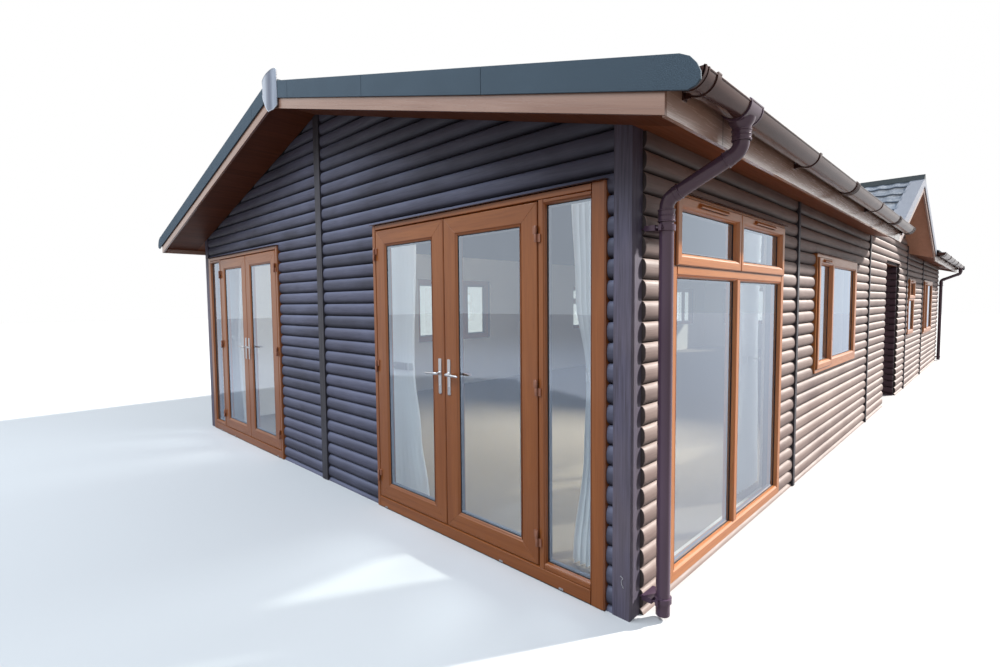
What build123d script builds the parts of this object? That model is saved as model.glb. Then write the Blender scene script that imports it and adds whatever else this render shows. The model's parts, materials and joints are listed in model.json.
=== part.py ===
from build123d import *
import os
from collections import namedtuple
from math import radians, tan

# Holiday chalet: a hollow timber lodge of 50 by 20 feet with a shallow gabled roof,
# two pairs of glazed doors in the front gable and a side entrance recess under a gablet.
# Millimetres. X runs across the front gable, Y along the lodge to its rear, Z up.
# The origin lies on the ground at the middle of the plan.

# Plan, over the corner posts
LENGTH = 15240
WIDTH = 6096
POST = 97

# Walls
WALL = 100
SIDE_POST_PROUD = 10
END_POST_PROUD = 36
BATTEN_WIDTH = 95
BATTEN_PROUD = 42
SIDE_BATTEN_WIDTH = 45
WALL_TOP = 2370

# Floor
FLOOR = 50

# Main roof
MAIN_PITCH = 15
ROOF_DEPTH = 145
SOFFIT = 9
EAVES_OUT = 354
VERGE_OUT = 390
FASCIA = 18
FASCIA_DROP = 45
TILE_LIP = 43
TILE = 25

# Verge trim, a folded strip over the bargeboard
TRIM = 12
TRIM_DEPTH = 128
TRIM_RISE = 20
TRIM_FLANGE = 150
TRIM_OVERRUN = 40
TRIM_JOINT = 4

# Ridge caps
CAP_WING = 125
CAP_RISE = 60
FINIAL_WIDTH = 190
FINIAL_HEIGHT = 320
FINIAL = 22

# Gablet over the side entrance
GABLET_HALF = 2100
GABLET_DROP = 20

# Entrance recess in the right wall
RECESS_FRONT = -510
RECESS_REAR = 680
RECESS_HEIGHT = 2085
RECESS_DEPTH = 1100
RECESS_CEILING = 12
PORCH_DOOR_WIDTH = 900
PORCH_HEAD = 65
PORCH_FRAME = 60
PORCH_SILL = 45

# Frames of doors and windows
FRAME_DEPTH = 70
FRAME_MEMBER = 62
SASH_MEMBER = 58
SASH_PROUD = 14
WINDOW_MEMBER = 90
SIDE_FRAME_OUT = 36
TRANSOM_START = 1690
TRANSOM_END = 1803
FAN_SHARE = 0.3
NARROW_WIDE = (3, 7)
EQUAL = (1, 1)
GLASS = 24
GLASS_SET = 24

# Windows, by the room behind them: width, sill height and height
TALL_WIDTH = 1855
TALL_LOW = 60
TALL_HEIGHT = 2060
LOUNGE_WIDTH = 1750
LOUNGE_LOW = 890
LOUNGE_HEIGHT = 1090
BATH_WIDTH = 770
BATH_LOW = 940
BATH_HEIGHT = 990
BED_WIDTH = 1670
BED_LOW = 840
BED_HEIGHT = 1120
REAR_WIDTH = 1300

# Places of the windows and battens along the walls
TALL_FROM_FRONT = 340
LOUNGE_FROM_FRONT = 3180
BATH_FROM_RECESS = 1150
BED_FROM_REAR = 3420
LEFT_BED_FROM_REAR = 920
LEFT_BATH_FROM_REAR = 4320
LEFT_SHOWER_FROM_REAR = 6720
LEFT_LOUNGE_FROM_FRONT = 5020
REAR_FROM_MIDDLE = 1000
BATTEN_FRONT = 2620
BATTEN_BESIDE_RECESS = 1340
BATTEN_BEHIND_RECESS = 920
BATTEN_REAR = 3620
LEFT_BATTEN_FRONT = 3020
LEFT_BATTEN_MIDDLE = 990
LEFT_BATTEN_BESIDE_BED = 130

# Glazed door sets in the front gable: two leaves and one sidelight each
SET_WIDTH = 2050
SET_HEIGHT = 2100
SET_INSET = 137
SET_SILL = 45
SET_FRAME_OUT = 12
JAMB = 38
HEAD = 38
MULLION_WIDTH = 78
SIDELIGHT_WIDTH = 265
SIDELIGHT_JAMB = 82
SIDELIGHT_BOTTOM = 83
SIDELIGHT_TOP = 77
LEAF_GAP = 6
LEAF_DEPTH = 56
LEAF_STILE = 122
LEAF_BOTTOM_RAIL = 108
LEAF_TOP_RAIL = 112
LEAF_BEVEL = 5
STOP = 16

# Door hardware
PIN_OUT = 15
KNUCKLE_RADIUS = 8
KNUCKLE_LENGTH = 44
KNUCKLE_GAP = 0.4
KNUCKLE_SIDES = 12
FLAG_WIDTH = 34
FLAG = 8
HINGE_HEIGHTS = (248, 1092, 1927)
HANDLE_HEIGHT = 1100
PLATE_WIDTH = 28
PLATE_HEIGHT = 235
PLATE = 8
LEVER_LENGTH = 118
LEVER_OUT = 48
LEVER_RADIUS = 9
HANDLE_BACKSET = 42

# Rainwater goods
GUTTER_RADIUS = 60
GUTTER_WALL = 4
GUTTER_RIM = 2375
GUTTER_STANDOFF = 12
GUTTER_INSET = 30
GUTTER_GAP = 6
BRACKET_WIDTH = 30
BRACKET_WALL = 4
BRACKET_PITCH = 1050
BRACKET_SIDES = 12
BRACKET_INSET = 125
UNION_WIDTH = 90
OUTLET_WIDTH = 150
SEAT = 0.3
PIPE_RADIUS = 34
PIPE_SIDES = 24
PIPE_X_OUT = 77
PIPE_Y_IN = 165
PIPE_FOOT = 60
SOCKET_RADIUS = 39
ELBOW_TOP = 2215
ELBOW_BOTTOM = 2020
ELBOW_RADIUS = 70
REAR_OUTLET_OUT = 60
REAR_PIPE_IN = 180
ELBOW_JOINTS = 3
CLIP_RADIUS = 43
CLIP_SIDES = 16

# Derived places
half_width = WIDTH / 2
half_length = LENGTH / 2
side_face = half_width - SIDE_POST_PROUD
side_in = side_face - WALL
end_face = half_length - END_POST_PROUD
end_in = end_face - WALL
post_x = half_width - POST
post_y = half_length - POST
fascia_x = half_width + EAVES_OUT
fascia_back = fascia_x - FASCIA
verge_y = half_length + VERGE_OUT
verge_back = verge_y - FASCIA
main_slope = tan(radians(MAIN_PITCH))
ridge_soffit = WALL_TOP + half_width * main_slope
gablet_slope = (fascia_x * main_slope - GABLET_DROP) / GABLET_HALF
gablet_apex = GABLET_DROP / main_slope
gablet_foot = (fascia_back * main_slope - GABLET_DROP) / gablet_slope
set_face = end_face + END_POST_PROUD + SET_FRAME_OUT
gutter_x = fascia_x + GUTTER_STANDOFF + GUTTER_RADIUS
side_frame_face = half_width + SIDE_FRAME_OUT

porch_door_height = RECESS_HEIGHT - PORCH_HEAD

Opening = namedtuple("Opening", "start width low height")


def tall_opening(start):
    return Opening(start, TALL_WIDTH, TALL_LOW, TALL_HEIGHT)


def lounge_opening(start):
    return Opening(start, LOUNGE_WIDTH, LOUNGE_LOW, LOUNGE_HEIGHT)


def bath_opening(start):
    return Opening(start, BATH_WIDTH, BATH_LOW, BATH_HEIGHT)


def bed_opening(start):
    return Opening(start, BED_WIDTH, BED_LOW, BED_HEIGHT)


def rear_opening(start):
    return Opening(start, REAR_WIDTH, BED_LOW, BED_HEIGHT)


# Each opening's start lies along its wall, from left to right seen from outside
TALL_WINDOW = tall_opening(TALL_FROM_FRONT - half_length)
LOUNGE_WINDOW = lounge_opening(LOUNGE_FROM_FRONT - half_length)
BATH_WINDOW = bath_opening(RECESS_REAR + BATH_FROM_RECESS)
BED_WINDOW = bed_opening(half_length - BED_FROM_REAR)
LEFT_WINDOWS = (
    bed_opening(LEFT_BED_FROM_REAR - half_length),
    bath_opening(LEFT_BATH_FROM_REAR - half_length),
    bath_opening(LEFT_SHOWER_FROM_REAR - half_length),
    lounge_opening(half_length - LEFT_LOUNGE_FROM_FRONT),
)
REAR_WINDOWS = (
    rear_opening(-REAR_FROM_MIDDLE - REAR_WIDTH),
    rear_opening(REAR_FROM_MIDDLE),
)

right_battens = (
    BATTEN_FRONT - half_length,
    RECESS_FRONT - BATTEN_BESIDE_RECESS,
    RECESS_REAR + BATTEN_BEHIND_RECESS,
    half_length - BATTEN_REAR,
)
left_battens = (
    LEFT_BATTEN_FRONT - half_length,
    RECESS_FRONT - LEFT_BATTEN_MIDDLE,
    RECESS_REAR + BATTEN_BEHIND_RECESS,
    half_length - LEFT_BED_FROM_REAR - BED_WIDTH - LEFT_BATTEN_BESIDE_BED,
)


def main_height(x, above=0):
    """Height of a plane parallel to the main soffit, at a distance x from the ridge."""
    return ridge_soffit + above - main_slope * abs(x)


def gablet_height(y, above=0):
    """Height of a plane parallel to the gablet's soffit, at a distance y from its ridge."""
    return ridge_soffit - GABLET_DROP + above - gablet_slope * abs(y)


def valley_y(x):
    """Half width of the gablet in plan, where it meets the main slope."""
    return (main_slope * x - GABLET_DROP) / gablet_slope


def right_plane(start, low, out):
    """Plane on the right wall: X to the right seen from outside, Y up, Z outward."""
    return Plane(origin=(out, start, low), x_dir=(0, 1, 0), z_dir=(1, 0, 0))


def left_plane(start, low, out):
    return Plane(origin=(-out, -start, low), x_dir=(0, -1, 0), z_dir=(-1, 0, 0))


def front_plane(start, low, out):
    return Plane(origin=(start, -out, low), x_dir=(1, 0, 0), z_dir=(0, -1, 0))


def rear_plane(start, low, out):
    return Plane(origin=(-start, out, low), x_dir=(-1, 0, 0), z_dir=(0, 1, 0))


def block(x, y, z, mode=Mode.ADD):
    """Adds a slab or post between two values on each axis to the piece being built."""
    with Locations((min(x), min(y), min(z))):
        Box(
            abs(x[1] - x[0]),
            abs(y[1] - y[0]),
            abs(z[1] - z[0]),
            align=(Align.MIN, Align.MIN, Align.MIN),
            mode=mode,
        )


def prism(plane, points, amount, mode=Mode.ADD):
    """Extrudes an outline given on a plane."""
    with BuildSketch(plane) as outline:
        with BuildLine():
            Polyline(*points, close=True)
        make_face()
    extrude(outline.sketch, amount=amount, mode=mode)


def pane(plane, x, y, width, height, amount, mode=Mode.ADD):
    """Extrudes a rectangle whose lower left corner lies at x, y on a plane."""
    with BuildSketch(plane) as outline:
        with Locations((x + width / 2, y + height / 2)):
            Rectangle(width, height)
    extrude(outline.sketch, amount=amount, mode=mode)


def valley_prism(mode):
    """Upright prism over the gablet's plan, from its apex to beyond the eaves."""
    reach = fascia_x + 2 * TILE_LIP
    corner = valley_y(reach)
    outline = [(gablet_apex, 0), (reach, -corner), (reach, corner)]
    prism(Plane.XY, outline, ridge_soffit + 2 * ROOF_DEPTH, mode)


def save(piece, name):
    piece.part.label = name
    export_step(piece.part, f"parts/{name}.step")


os.makedirs("parts", exist_ok=True)

# Floor, stopped at the recess
with BuildPart() as floor:
    block((-side_in, side_in), (-end_in, end_in), (0, FLOOR))
    block(
        (half_width - RECESS_DEPTH - WALL, half_width),
        (RECESS_FRONT - WALL, RECESS_REAR + WALL),
        (0, FLOOR),
        Mode.SUBTRACT,
    )
save(floor, "floor")

# Front wall: strips beside the corner posts, the middle wall and the gable over the doors
set_end = half_width - SET_INSET
set_start = set_end - SET_WIDTH
set_top = SET_SILL + SET_HEIGHT


def gable_outline(half):
    """Gable between the door heads and the roof's underside."""
    return [
        (-half, set_top),
        (half, set_top),
        (half, main_height(half, SOFFIT)),
        (0, main_height(0, SOFFIT)),
        (-half, main_height(half, SOFFIT)),
    ]


with BuildPart() as front_wall_ends:
    block((set_end, post_x), (-end_face, -post_y), (0, set_top))
    block((-post_x, -set_end), (-end_face, -post_y), (0, set_top))
save(front_wall_ends, "front_wall_ends")

with BuildPart() as front_wall_middle:
    block((-set_start, set_start), (-end_face, -end_in), (0, set_top))
save(front_wall_middle, "front_wall_middle")

with BuildPart() as front_wall_gable:
    prism(Plane.XZ.offset(end_in), gable_outline(post_x), WALL)
    for side in (-1, 1):
        block((side * side_in, side * half_width), (-post_y, -end_in), (0, ridge_soffit), Mode.SUBTRACT)
save(front_wall_gable, "front_wall_gable")

# Rear wall with two windows
with BuildPart() as rear_wall:
    rear_outline = [(-post_x, 0), (post_x, 0)] + gable_outline(post_x)[2:]
    prism(Plane.XZ.offset(-end_face), rear_outline, WALL)
    for side in (-1, 1):
        block((side * side_in, side * half_width), (post_y, end_in), (0, ridge_soffit), Mode.SUBTRACT)
    for window in REAR_WINDOWS:
        plane = rear_plane(window.start, window.low, end_face)
        pane(plane, 0, 0, window.width, window.height, -WALL, Mode.SUBTRACT)
save(rear_wall, "rear_wall")


# Side walls, with a top that follows the roof's underside
def side_wall_slab(start, end):
    outline = [
        (side_in, 0),
        (side_face, 0),
        (side_face, main_height(side_face, SOFFIT)),
        (side_in, main_height(side_in, SOFFIT)),
    ]
    prism(Plane.XZ.offset(-start), outline, start - end)


gable_foot = (ridge_soffit - GABLET_DROP - WALL_TOP) / gablet_slope
recess_head = RECESS_HEIGHT + RECESS_CEILING


def side_gable(mode=Mode.ADD):
    """Wall over the recess, rising into the gablet."""
    outline = [
        (-gable_foot, WALL_TOP),
        (RECESS_FRONT, WALL_TOP),
        (RECESS_FRONT, recess_head),
        (RECESS_REAR, recess_head),
        (RECESS_REAR, WALL_TOP),
        (gable_foot, WALL_TOP),
        (gable_foot, gablet_height(gable_foot, SOFFIT)),
        (0, gablet_height(0, SOFFIT)),
        (-gable_foot, gablet_height(gable_foot, SOFFIT)),
    ]
    prism(Plane.YZ.offset(side_in), outline, WALL, mode)


def cut_right(window):
    plane = right_plane(window.start, window.low, side_face)
    pane(plane, 0, 0, window.width, window.height, -WALL, Mode.SUBTRACT)


with BuildPart() as right_wall_front:
    side_wall_slab(-post_y, RECESS_FRONT)
    side_gable(Mode.SUBTRACT)
    cut_right(TALL_WINDOW)
    cut_right(LOUNGE_WINDOW)
save(right_wall_front, "right_wall_front")

with BuildPart() as right_wall_rear:
    side_wall_slab(RECESS_REAR, post_y)
    side_gable(Mode.SUBTRACT)
    cut_right(BATH_WINDOW)
    cut_right(BED_WINDOW)
save(right_wall_rear, "right_wall_rear")

with BuildPart() as right_wall_gable:
    side_gable()
save(right_wall_gable, "right_wall_gable")

with BuildPart() as full_slab:
    side_wall_slab(-post_y, post_y)

with BuildPart() as left_wall:
    mirror(full_slab.part, about=Plane.YZ)
    for window in LEFT_WINDOWS:
        plane = left_plane(window.start, window.low, side_face)
        pane(plane, 0, 0, window.width, window.height, -WALL, Mode.SUBTRACT)
save(left_wall, "left_wall")

# Entrance recess: two side walls, the back wall round the door, and a ceiling
recess_back_x = half_width - RECESS_DEPTH
recess_middle = (RECESS_FRONT + RECESS_REAR) / 2
porch_door_start = recess_middle - PORCH_DOOR_WIDTH / 2

with BuildPart() as recess_sides:
    for near, far in ((RECESS_FRONT - WALL, RECESS_FRONT), (RECESS_REAR, RECESS_REAR + WALL)):
        block((recess_back_x - WALL, side_in), (near, far), (0, recess_head))
save(recess_sides, "recess_sides")

with BuildPart() as recess_back:
    block((recess_back_x - WALL, recess_back_x), (RECESS_FRONT, RECESS_REAR), (0, recess_head))
    block(
        (recess_back_x - WALL, recess_back_x),
        (porch_door_start, porch_door_start + PORCH_DOOR_WIDTH),
        (0, porch_door_height),
        Mode.SUBTRACT,
    )
save(recess_back, "recess_back")

with BuildPart() as recess_ceiling:
    block((recess_back_x, side_face), (RECESS_FRONT, RECESS_REAR), (RECESS_HEIGHT, recess_head))
save(recess_ceiling, "recess_ceiling")

with BuildPart() as entrance_frame:
    porch_plane = right_plane(porch_door_start, 0, recess_back_x)
    pane(porch_plane, 0, 0, PORCH_DOOR_WIDTH, porch_door_height, -FRAME_DEPTH)
    pane(
        porch_plane,
        PORCH_FRAME,
        PORCH_SILL,
        PORCH_DOOR_WIDTH - 2 * PORCH_FRAME,
        porch_door_height - PORCH_SILL - PORCH_FRAME,
        -FRAME_DEPTH,
        Mode.SUBTRACT,
    )
save(entrance_frame, "entrance_frame")

with BuildPart() as entrance_door:
    pane(
        porch_plane.offset(-TRIM),
        PORCH_FRAME,
        PORCH_SILL,
        PORCH_DOOR_WIDTH - 2 * PORCH_FRAME,
        porch_door_height - PORCH_SILL - PORCH_FRAME,
        TRIM - FRAME_DEPTH,
    )
save(entrance_door, "entrance_door")

# Corner posts, square timbers up to the roof's underside
post_top = main_height(half_width, SOFFIT)
with BuildPart() as corner_posts:
    post_outline = [
        (post_x, 0),
        (half_width, 0),
        (half_width, post_top),
        (post_x, main_height(post_x, SOFFIT)),
    ]
    prism(Plane.XZ.offset(post_y), post_outline, POST)
    mirror(about=Plane.YZ)
    mirror(about=Plane.XZ)
save(corner_posts, "corner_posts")

# Battens over the joints of the cladding
with BuildPart() as end_battens:
    batten_half = BATTEN_WIDTH / 2
    front_outline = [
        (-batten_half, 0),
        (batten_half, 0),
        (batten_half, main_height(batten_half)),
        (0, main_height(0)),
        (-batten_half, main_height(batten_half)),
    ]
    prism(Plane.XZ.offset(end_face), front_outline, BATTEN_PROUD)
    mirror(about=Plane.XZ)
save(end_battens, "end_battens")

batten_out = side_face + BATTEN_PROUD


def side_batten(y):
    """Batten on the right wall, up to the soffit over it."""
    half = SIDE_BATTEN_WIDTH / 2
    top = main_height(batten_out)
    if abs(y) + half < valley_y(side_face):
        top = gablet_height(abs(y) + half)
    block((side_face, batten_out), (y - half, y + half), (0, top))


with BuildPart() as side_battens:
    for place in right_battens:
        side_batten(place)
    for place in left_battens:
        half_batten = SIDE_BATTEN_WIDTH / 2
        block(
            (-batten_out, -side_face),
            (place - half_batten, place + half_batten),
            (0, main_height(batten_out)),
        )
save(side_battens, "side_battens")


cap_edge = 2 * TRIM


def cap_outline(height, below):
    """Folded strip on a ridge whose tile surface is given by height."""
    return [
        (-CAP_WING, height(CAP_WING, ROOF_DEPTH)),
        (0, height(0, ROOF_DEPTH)),
        (CAP_WING, height(CAP_WING, ROOF_DEPTH)),
        (CAP_WING, height(CAP_WING, ROOF_DEPTH) + below),
        (0, height(0, ROOF_DEPTH) + CAP_RISE),
        (-CAP_WING, height(CAP_WING, ROOF_DEPTH) + below),
    ]


# Roof: two slopes, and the gablet that crosses the right one
with BuildPart() as full_slope:
    slope_outline = [
        (0, main_height(0, SOFFIT)),
        (fascia_back, main_height(fascia_back, SOFFIT)),
        (fascia_back, main_height(fascia_back, ROOF_DEPTH)),
        (0, main_height(0, ROOF_DEPTH)),
    ]
    prism(Plane.XZ.offset(-verge_back), slope_outline, 2 * verge_back)

with BuildPart() as roof_right:
    add(full_slope.part)
    valley_prism(Mode.SUBTRACT)
save(roof_right, "roof_right")

with BuildPart() as roof_left:
    mirror(full_slope.part, about=Plane.YZ)
save(roof_left, "roof_left")

# Eaves course: the strip of tiles that runs out over the fascia and the gutter's edge
with BuildPart() as full_eaves_course:
    tile_lip = fascia_x + TILE_LIP
    lip_outline = [
        (fascia_back, main_height(fascia_back, ROOF_DEPTH - TILE)),
        (tile_lip, main_height(tile_lip, ROOF_DEPTH - TILE)),
        (tile_lip, main_height(tile_lip, ROOF_DEPTH)),
        (fascia_back, main_height(fascia_back, ROOF_DEPTH)),
    ]
    prism(Plane.XZ.offset(-verge_back), lip_outline, 2 * verge_back)

with BuildPart() as eaves_courses:
    add(full_eaves_course.part)
    valley_prism(Mode.SUBTRACT)
    mirror(full_eaves_course.part, about=Plane.YZ)
save(eaves_courses, "eaves_courses")

with BuildPart() as gablet_roof:
    reach = GABLET_HALF + TILE_LIP
    outline = [
        (-reach, gablet_height(reach, SOFFIT)),
        (0, gablet_height(0, SOFFIT)),
        (reach, gablet_height(reach, SOFFIT)),
        (reach, gablet_height(reach, ROOF_DEPTH)),
        (0, gablet_height(0, ROOF_DEPTH)),
        (-reach, gablet_height(reach, ROOF_DEPTH)),
    ]
    prism(Plane.YZ, outline, fascia_back)
    valley_prism(Mode.INTERSECT)
    prism(Plane.XZ.offset(-CAP_WING), cap_outline(main_height, cap_edge), 2 * CAP_WING, Mode.SUBTRACT)
save(gablet_roof, "gablet_roof")


# Ridge caps: a folded strip over both slopes, and a tapered plate over the gables' apex
trim_face_y = verge_y + TRIM
trim_face_x = fascia_x + TRIM

with BuildPart() as main_ridge_cap:
    prism(Plane.XZ.offset(-verge_back), cap_outline(main_height, cap_edge), 2 * verge_back)
save(main_ridge_cap, "main_ridge_cap")

finial_top = main_height(0, ROOF_DEPTH) + CAP_RISE + TRIM_RISE
with BuildPart() as ridge_finials:
    with BuildSketch(Plane.XZ.offset(trim_face_y)):
        with BuildLine():
            top_half = FINIAL_WIDTH / 2
            foot_half = FINIAL_WIDTH / 4
            foot = finial_top - FINIAL_HEIGHT
            Line((-foot_half, foot), (foot_half, foot))
            Line((foot_half, foot), (top_half, finial_top - TRIM_RISE))
            ThreePointArc((top_half, finial_top - TRIM_RISE), (0, finial_top), (-top_half, finial_top - TRIM_RISE))
            Line((-top_half, finial_top - TRIM_RISE), (-foot_half, foot))
        make_face()
    extrude(amount=FINIAL)
    mirror(about=Plane.XZ)
save(ridge_finials, "ridge_finials")

with BuildPart() as gablet_ridge_cap:
    prism(Plane.YZ.offset(CAP_WING), cap_outline(gablet_height, cap_edge), trim_face_x - CAP_WING)
    under_main = [
        (0, 0),
        (fascia_x, 0),
        (fascia_x, main_height(fascia_x, ROOF_DEPTH)),
        (0, main_height(0, ROOF_DEPTH)),
    ]
    prism(Plane.XZ.offset(-CAP_WING), under_main, 2 * CAP_WING, Mode.SUBTRACT)
save(gablet_ridge_cap, "gablet_ridge_cap")


# Bargeboards at the gables and the gablet, and fascias at the eaves
def barge_outline(height, half):
    """Chevron board between the fascia's bottom and the tile surface."""
    return [
        (-half, height(half, -FASCIA_DROP)),
        (0, height(0, -FASCIA_DROP)),
        (half, height(half, -FASCIA_DROP)),
        (half, height(half, ROOF_DEPTH)),
        (0, height(0, ROOF_DEPTH)),
        (-half, height(half, ROOF_DEPTH)),
    ]


with BuildPart() as gable_bargeboards:
    prism(Plane.XZ.offset(verge_back), barge_outline(main_height, fascia_x), FASCIA)
    mirror(about=Plane.XZ)
save(gable_bargeboards, "gable_bargeboards")

with BuildPart() as gablet_bargeboards:
    prism(Plane.YZ.offset(fascia_back), barge_outline(gablet_height, gablet_foot), FASCIA)
save(gablet_bargeboards, "gablet_bargeboards")

fascia_bottom = main_height(fascia_x, -FASCIA_DROP)
with BuildPart() as fascias:
    z_span = (fascia_bottom, main_height(fascia_x, ROOF_DEPTH - TILE))
    for near, far in ((-verge_back, -gablet_foot), (gablet_foot, verge_back)):
        block((fascia_back, fascia_x), (near, far), z_span)
    block((-fascia_x, -fascia_back), (-verge_back, verge_back), z_span)
save(fascias, "fascias")


# Verge trims: a front strip with a half-round lower end, and a flange over the tiles
def slope_strip(plane, height, start, end, amount):
    """Strip down one slope, its lower end rounded, on a plane square to the ridge."""
    lower = ROOF_DEPTH + TRIM_RISE - TRIM_DEPTH
    upper = ROOF_DEPTH + TRIM_RISE
    with BuildSketch(plane) as strip:
        with BuildLine():
            Line((start, height(start, lower)), (end, height(end, lower)))
            bulge = (end + TRIM_DEPTH / 2, height(end + TRIM_DEPTH / 2, upper) - TRIM_DEPTH / 2)
            ThreePointArc((end, height(end, lower)), bulge, (end, height(end, upper)))
            Line((end, height(end, upper)), (start, height(start, upper)))
            Line((start, height(start, upper)), (start, height(start, lower)))
        make_face()
    extrude(strip.sketch, amount=amount)


def slope_flange(plane, height, start, end, amount):
    """Top flange of the trim, on the tile surface."""
    outline = [
        (start, height(start, ROOF_DEPTH)),
        (end, height(end, ROOF_DEPTH)),
        (end, height(end, ROOF_DEPTH + TRIM_RISE)),
        (start, height(start, ROOF_DEPTH + TRIM_RISE)),
    ]
    prism(plane, outline, amount)


# On the gables each slope has its own strip and flange, with a joint behind the finial
trim_end = fascia_x + TRIM_OVERRUN
trim_start = TRIM_JOINT / 2
with BuildPart() as gable_verge_trims:
    slope_strip(Plane.XZ.offset(verge_y), main_height, trim_start, trim_end, TRIM)
    mirror(about=Plane.YZ)
    mirror(about=Plane.XZ)
save(gable_verge_trims, "gable_verge_trims")

with BuildPart() as gable_verge_flanges:
    slope_flange(Plane.XZ.offset(verge_y), main_height, trim_start, trim_end, -TRIM_FLANGE)
    prism(Plane.XZ.offset(verge_back), cap_outline(main_height, cap_edge), -TRIM_FLANGE, Mode.SUBTRACT)
    mirror(about=Plane.YZ)
    mirror(about=Plane.XZ)
save(gable_verge_flanges, "gable_verge_flanges")

gablet_trim_end = GABLET_HALF + TRIM
with BuildPart() as gablet_verge_trims:
    slope_strip(Plane.YZ.offset(fascia_x), gablet_height, 0, gablet_trim_end, TRIM)
    slope_flange(Plane.YZ.offset(fascia_x), gablet_height, 0, gablet_trim_end, -TRIM_FLANGE)
    mirror(about=Plane.XZ)
    prism(Plane.YZ.offset(fascia_x), cap_outline(gablet_height, cap_edge), 2 * TRIM, Mode.SUBTRACT)
    prism(Plane.YZ.offset(fascia_x), cap_outline(gablet_height, cap_edge), -2 * TRIM_FLANGE, Mode.SUBTRACT)
    valley_prism(Mode.INTERSECT)
save(gablet_verge_trims, "gablet_verge_trims")


# Soffits, thin boards under the overhangs
def soffit_outline(height, start, end):
    return [
        (start, height(start)),
        (end, height(end)),
        (end, height(end, SOFFIT)),
        (start, height(start, SOFFIT)),
    ]


with BuildPart() as eaves_soffits:
    outline = soffit_outline(main_height, side_face, fascia_back)
    prism(Plane.XZ.offset(-post_y), outline, 2 * post_y)
    valley_prism(Mode.SUBTRACT)
    left_outline = [(-x, z) for x, z in outline]
    prism(Plane.XZ.offset(-post_y), left_outline, 2 * post_y)
save(eaves_soffits, "eaves_soffits")

with BuildPart() as gable_soffits:
    outline = [
        (-fascia_back, main_height(fascia_back)),
        (0, main_height(0)),
        (fascia_back, main_height(fascia_back)),
        (fascia_back, main_height(fascia_back, SOFFIT)),
        (0, main_height(0, SOFFIT)),
        (-fascia_back, main_height(fascia_back, SOFFIT)),
    ]
    prism(Plane.XZ.offset(half_length), outline, verge_back - half_length)
    mirror(about=Plane.XZ)
save(gable_soffits, "gable_soffits")

with BuildPart() as gablet_soffit:
    outline = [
        (-GABLET_HALF, gablet_height(GABLET_HALF)),
        (0, gablet_height(0)),
        (GABLET_HALF, gablet_height(GABLET_HALF)),
        (GABLET_HALF, gablet_height(GABLET_HALF, SOFFIT)),
        (0, gablet_height(0, SOFFIT)),
        (-GABLET_HALF, gablet_height(GABLET_HALF, SOFFIT)),
    ]
    prism(Plane.YZ.offset(side_face), outline, fascia_back - side_face)
    valley_prism(Mode.INTERSECT)
save(gablet_soffit, "gablet_soffit")


# Gutters: half-round channels in lengths that meet at their outlets and unions
pipe_y = half_length - PIPE_Y_IN
front_outlet = -pipe_y
rear_outlet = half_length + REAR_OUTLET_OUT
gutter_end = verge_y - GUTTER_INSET
gutter_break = GABLET_HALF + GUTTER_INSET


def bracket_places(outlet, end):
    """Places of the brackets, from an outlet towards the run's other end."""
    way = 1 if end > outlet else -1
    count = int((abs(end - outlet) - BRACKET_INSET / 2) // BRACKET_PITCH)
    return [outlet + way * BRACKET_PITCH * number for number in range(1, count + 1)]


front_brackets = bracket_places(front_outlet, -gutter_break)
rear_brackets = bracket_places(rear_outlet, gutter_break)
left_places = bracket_places(front_outlet, rear_outlet - BRACKET_PITCH / 2)
end_brackets = [-gutter_end + BRACKET_INSET, gutter_end - BRACKET_INSET]
front_unions = front_brackets[1::2]
rear_unions = rear_brackets[1::2]
left_unions = left_places[1::2]


def gutter(start, end, joints):
    """Half-round gutter along the right eaves, with a stop end at both ends."""
    edges = [start - GUTTER_GAP / 2, *sorted(joints), end + GUTTER_GAP / 2]
    for near, far in zip(edges, edges[1:]):
        with BuildSketch(Plane.XZ.offset(-near - GUTTER_GAP / 2)) as channel:
            with Locations((gutter_x, GUTTER_RIM)):
                Circle(GUTTER_RADIUS)
                Circle(GUTTER_RADIUS - GUTTER_WALL, mode=Mode.SUBTRACT)
                Rectangle(3 * GUTTER_RADIUS, 2 * GUTTER_RADIUS, align=(Align.CENTER, Align.MIN), mode=Mode.SUBTRACT)
        extrude(channel.sketch, amount=near + GUTTER_GAP - far)
    for place in (start, end - GUTTER_WALL):
        with BuildSketch(Plane.XZ.offset(-place)) as stop_end:
            with Locations((gutter_x, GUTTER_RIM)):
                Circle(GUTTER_RADIUS)
                Rectangle(3 * GUTTER_RADIUS, 2 * GUTTER_RADIUS, align=(Align.CENTER, Align.MIN), mode=Mode.SUBTRACT)
        extrude(stop_end.sketch, amount=-GUTTER_WALL)


with BuildPart() as right_gutters:
    gutter(-gutter_end, -gutter_break, [front_outlet, *front_unions])
    gutter(gutter_break, gutter_end, [rear_outlet, *rear_unions])
save(right_gutters, "right_gutters")

with BuildPart() as full_gutter:
    gutter(-gutter_end, gutter_end, [front_outlet, *left_unions, rear_outlet])

with BuildPart() as left_gutter:
    mirror(full_gutter.part, about=Plane.YZ)
save(left_gutter, "left_gutter")


def strap(y, width):
    """Band under the gutter, bent in flats round it."""
    inner = GUTTER_RADIUS + SEAT
    outer = inner + BRACKET_WALL
    with BuildSketch(Plane.XZ.offset(width / 2 - y)) as band:
        with Locations((gutter_x, GUTTER_RIM)):
            RegularPolygon(outer, BRACKET_SIDES, major_radius=False)
            RegularPolygon(inner, BRACKET_SIDES, major_radius=False, mode=Mode.SUBTRACT)
            Rectangle(3 * outer, 2 * outer, align=(Align.CENTER, Align.MIN), mode=Mode.SUBTRACT)
    extrude(band.sketch, amount=-width)


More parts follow.
